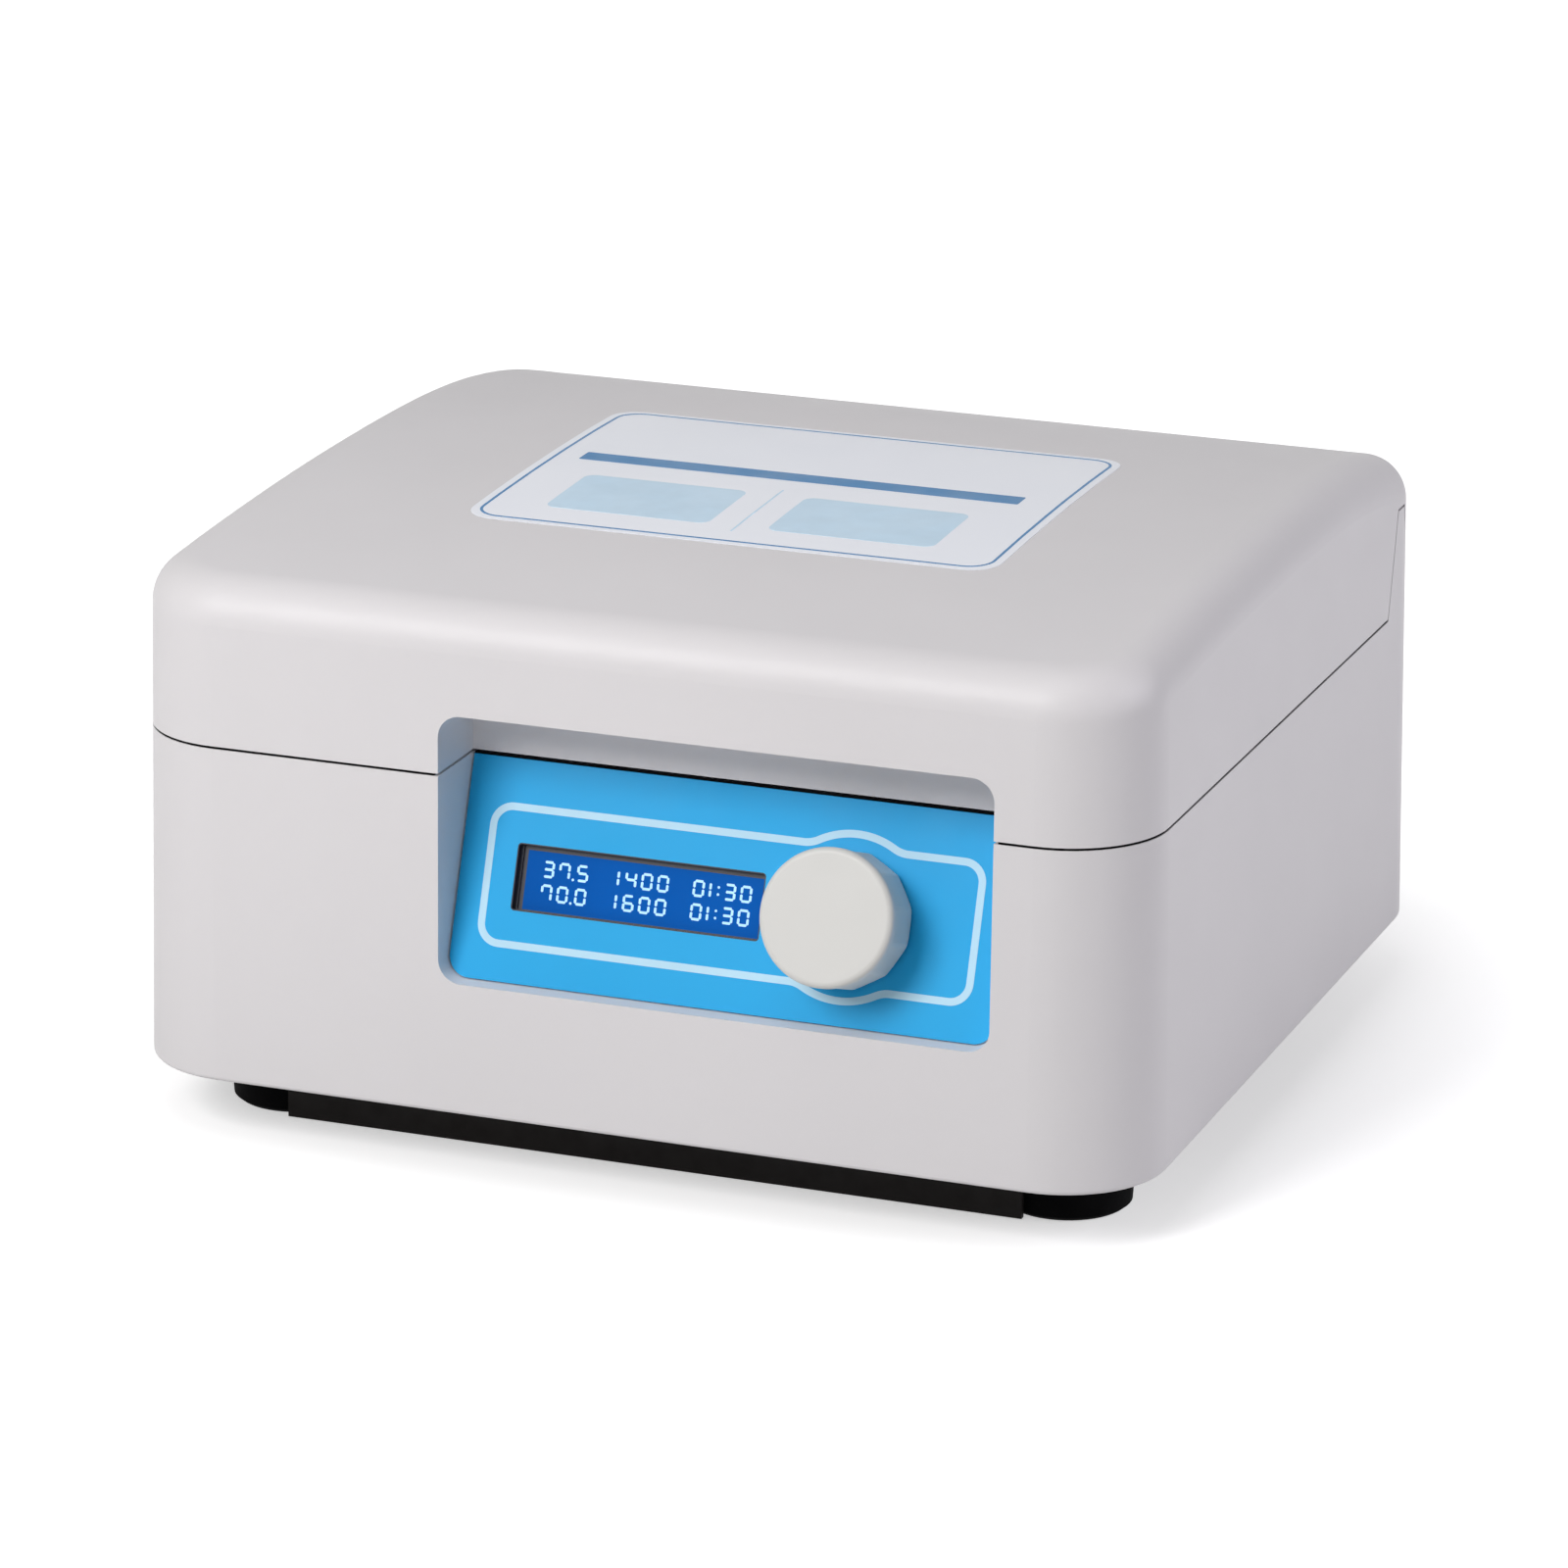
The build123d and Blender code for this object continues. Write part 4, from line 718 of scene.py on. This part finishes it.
def make_slant_shade(material):
    """Black rubber strip in the slanted part of the parting line, against the housing's cheeks,
    standing in for the shade in the seam's gap (painted shade).
    """
    def place(side, inset):
        def put(p):
            x = SIDE_FOOT - (p[1] - SIDE_FOOT_Z) * SIDE_DRAFT - inset
            return Vector((side * x * MM, (p[0] + ROW_SHIFT) * MM, p[1] * MM))
        return put

    for side, name in ((-1, "slant_shade_left"), (1, "slant_shade_right")):
        data = plates_mesh(name, [SLANT_SHADE], place(side, SLANT_INSET),
                           place(side, SLANT_INSET + SEAM_SHADE_WIDTH))
        new_piece(name, data, material, "base")


def make_shade_strip(material):
    """Dark strip in front of the pan's front flange, down to the bench: a painted shadow that
    stands in for the shade under the body.
    """
    y0, y1 = SHADE_STRIP_Y
    outline = [(-SHADE_STRIP_X, y0), (SHADE_STRIP_X, y0), (SHADE_STRIP_X, y1), (-SHADE_STRIP_X, y1)]
    data = plates_mesh("front_shade_strip", [outline], level_place(SHADE_STRIP_TOP), level_place(SHADE_STRIP_LOW))
    new_piece("front_shade_strip", data, material, "base")


def make_flange_shade_ends(material):
    """Short ends that carry the bottom pan's front and rear flanges on to the feet; at the front
    they close the dark band between the feet, which stands in for the shadow under the body
    (painted shadow).
    """
    x0, x1 = FLANGE_SHADE_END
    outlines = []
    for sx in (-1, 1):
        for sy in (-1, 1):
            xs = sorted((sx * x0, sx * x1))
            ys = sorted((sy * FLANGE_Y, sy * (FLANGE_Y - FLANGE_SHEET)))
            outlines.append([(xs[0], ys[0]), (xs[1], ys[0]), (xs[1], ys[1]), (xs[0], ys[1])])
    data = plates_mesh("pan_flange_shade_ends", outlines, level_place(FLANGE_TOP),
                       level_place(FLANGE_LOW))
    new_piece("pan_flange_shade_ends", data, material, "base")


# ---------------------------------------------------------------- lid label
def surface(node):
    """Returns a function that gives the height of a node's top surface under (x, y) in mm."""
    data = NODES[node].data
    data.calc_loop_triangles()
    tree = BVHTree.FromPolygons([v.co for v in data.vertices],
                                [t.vertices[:] for t in data.loop_triangles])

    def drop(p, lift):
        hit = tree.ray_cast(Vector((p[0] * MM, p[1] * MM, 1.0)), Vector((0, 0, -1)))
        return hit[0] + hit[1] * lift
    return drop


def draped_mesh(name, loop, place, step):
    """Sheet inside a closed loop, with inner points every step mm, set on a surface."""
    xs = [p[0] for p in loop]
    ys = [p[1] for p in loop]
    count = len(loop)
    points = [Vector(p) for p in loop]
    edges = [(i, (i + 1) % count) for i in range(count)]
    inner = offset_loop(loop, step * 0.5)
    x = min(xs) + step
    while x < max(xs) - step * 0.5:
        y = min(ys) + step
        while y < max(ys) - step * 0.5:
            if inside((x, y), inner):
                points.append(Vector((x, y)))
            y += step
        x += step
    verts, _, faces = delaunay_2d_cdt(points, edges, [], 1, 1e-6)[:3]
    data = bpy.data.meshes.new(name)
    data.from_pydata([place((v.x, v.y)) for v in verts], [], faces)
    data.update()
    return data


def inside(p, loop):
    """Whether a point lies inside a closed loop."""
    hit = False
    for i, (ax, ay) in enumerate(loop):
        bx, by = loop[i - 1]
        if (ay > p[1]) != (by > p[1]) and p[0] < (bx - ax) * (p[1] - ay) / (by - ay) + ax:
            hit = not hit
    return hit


def thicken(obj, thickness):
    """Gives a draped sheet its thickness, downwards, and applies it."""
    solid = obj.modifiers.new("thickness", "SOLIDIFY")
    solid.thickness = thickness
    solid.offset = -1
    graph = bpy.context.evaluated_depsgraph_get()
    data = bpy.data.meshes.new_from_object(obj.evaluated_get(graph))
    obj.modifiers.clear()
    obj.data = data
    for face in data.polygons:
        face.use_smooth = True
    data.set_sharp_from_angle(angle=SHARP_EDGE)


def make_label(film, ink, pale):
    """Plain film label on the lid: thin border, one bar and two plain fields, no lettering."""
    drop = surface("lid_shell")
    x0, y0 = LABEL_MIN
    x1, y1 = LABEL_MAX

    def on_lid(rise):
        return lambda p: drop(p, rise * MM)

    loop = rounded_loop(x0, y0, x1, y1, LABEL_CORNER)
    sheet = draped_mesh("lid_label", loop, on_lid(LABEL_THICK), 6.0)
    label = new_piece("lid_label", sheet, film, "lid")
    thicken(label, LABEL_THICK * FILM_SHARE * MM)

    top, low = on_lid(LABEL_THICK + INK_RISE), on_lid(LABEL_THICK - INK_DEPTH)

    def print_on(name, loop, step, material):
        """Draped patch of ink on the film."""
        data = draped_mesh(name, loop, top, step)
        thicken(new_piece(name, data, material, "lid"), INK_THICK * MM)

    i = LABEL_INSET
    border = rounded_loop(x0 + i, y0 + i, x1 - i, y1 - i, LABEL_CORNER - i + 1)
    line = ribbon_mesh("label_border", border, LABEL_LINE, top, low)
    new_piece("label_border", line, ink, "lid")

    bx0, bx1, by0, by1 = LABEL_BAR
    print_on("label_bar", rounded_loop(bx0, by0, bx1, by1, LABEL_BAR_CORNER), 3.0, ink)

    mid = (bx0 + bx1) / 2
    fields = (("label_field_left", bx0 + FIELD_INSET, mid - FIELD_INSET),
              ("label_field_right", mid + FIELD_INSET, bx1 - FIELD_INSET))
    for name, fx0, fx1 in fields:
        print_on(name, rounded_loop(fx0, FIELD_LOW, fx1, FIELD_HIGH, FIELD_CORNER), 5.0, pale)
    print_on("label_rule", rounded_loop(mid - RULE_HALF, RULE_LOW, mid + RULE_HALF, RULE_HIGH,
                                        RULE_CORNER), 3.0, pale)


# ---------------------------------------------------------------- finish of the CAD nodes
SLOT_MATERIALS = {
    "housing_plastic": housing_plastic, "overlay_film": overlay_film,
    "display_black": display_black, "display_blue": display_blue,
    "knob_plastic": knob_plastic, "black_rubber": black_rubber, "silicone": silicone,
    "dark_sheet": dark_sheet, "steel": steel, "aluminium": aluminium,
    "black_plastic": black_plastic, "liner_plastic": liner_plastic, "foam": foam,
    "circuit": circuit, "brass": brass,
}
NODE_MATERIALS = {
    "chamber_tray": tray_steel, "heated_platform": anodised_block,
    "lid_gasket": gasket_silicone,
}


def paint_nodes():
    """Gives each CAD node its material, and returns the materials by their makers."""
    made = {}

    def material(maker):
        if maker not in made:
            made[maker] = maker()
        return made[maker]

    for name, obj in NODES.items():
        slot = obj.data.materials[0].name.split(".")[0]
        maker = NODE_MATERIALS.get(name, SLOT_MATERIALS[slot])
        obj.data.materials.clear()
        obj.data.materials.append(material(maker))
    return made


# ---------------------------------------------------------------- camera, light and floor
def make_camera():
    """Camera solved from the photograph."""
    az, el, roll = (radians(a) for a in (CAMERA_AZIMUTH, CAMERA_ELEVATION, CAMERA_ROLL))
    right = Vector((cos(az), sin(az), 0))
    ahead = Vector((-sin(az) * cos(el), cos(az) * cos(el), -sin(el)))
    up = right.cross(ahead)
    turned = right * cos(roll) + up * sin(roll)
    up = up * cos(roll) - right * sin(roll)
    data = bpy.data.cameras.new("camera")
    data.lens = CAMERA_LENS
    data.sensor_width = SENSOR
    data.sensor_fit = "HORIZONTAL"
    data.clip_start, data.clip_end = 0.05, 50
    cam = bpy.data.objects.new("camera", data)
    bpy.context.scene.collection.objects.link(cam)
    rotation = Matrix((turned, up, -ahead)).transposed()
    cam.matrix_world = Matrix.Translation(CAMERA_PLACE) @ rotation.to_4x4()
    bpy.context.scene.camera = cam


def area_light(name, place, size, power, colour):
    """Square soft lamp that looks at the object."""
    data = bpy.data.lights.new(name, "AREA")
    data.shape = "RECTANGLE"
    data.size = data.size_y = size
    data.energy = power
    data.color = colour
    lamp = bpy.data.objects.new(name, data)
    bpy.context.scene.collection.objects.link(lamp)
    lamp.location = place
    aim = Vector(LAMP_AIM) - Vector(place)
    lamp.rotation_euler = aim.to_track_quat("-Z", "Y").to_euler()


def make_world():
    """Soft light from all sides, behind a plain white background."""
    world = bpy.data.worlds.new("studio")
    bpy.context.scene.world = world
    world.use_nodes = True
    tree = world.node_tree
    soft = tree.nodes["Background"]
    soft.inputs["Color"].default_value = SKY
    soft.inputs["Strength"].default_value = SKY_LEVEL
    white = tree.nodes.new("ShaderNodeBackground")
    white.inputs["Color"].default_value = (1, 1, 1, 1)
    white.inputs["Strength"].default_value = 1.0
    mix = tree.nodes.new("ShaderNodeMixShader")
    tree.links.new(shown_rays(tree), mix.inputs[0])
    tree.links.new(soft.outputs[0], mix.inputs[1])
    tree.links.new(white.outputs[0], mix.inputs[2])
    tree.links.new(mix.outputs[0], tree.nodes["World Output"].inputs["Surface"])


def make_floor():
    """Round floor with the object's shadow on it."""
    mesh = bmesh.new()
    bmesh.ops.create_circle(mesh, cap_ends=True, segments=96, radius=FLOOR_RADIUS)
    data = bpy.data.meshes.new("floor")
    mesh.to_mesh(data)
    mesh.free()
    data.materials.append(floor_material())
    floor = bpy.data.objects.new("floor", data)
    bpy.context.scene.collection.objects.link(floor)


def dress():
    """Materials of the CAD nodes, and the pieces that only the scene has."""
    made = paint_nodes()
    origin = panel_origin()
    make_outline(origin, printed_white())
    make_display_mask(origin, made[display_black])
    make_digits(origin, display_segments())
    # black strips in the seams: painted shade standing in for the shade in the gaps
    make_seam_shade(origin, made[black_rubber])
    make_slant_shade(made[black_rubber])
    # flange ends close the dark band between the feet: painted shadow of the body
    make_flange_shade_ends(made[dark_sheet])
    # dark strip under the front edge: painted shadow of the body on the bench
    make_shade_strip(made[dark_sheet])
    make_label(label_film(), label_ink(), label_pale())


dress()
make_camera()
make_world()
make_floor()
for lamp in LAMPS:
    area_light(*lamp)
bpy.context.scene.view_settings.view_transform = "Standard"
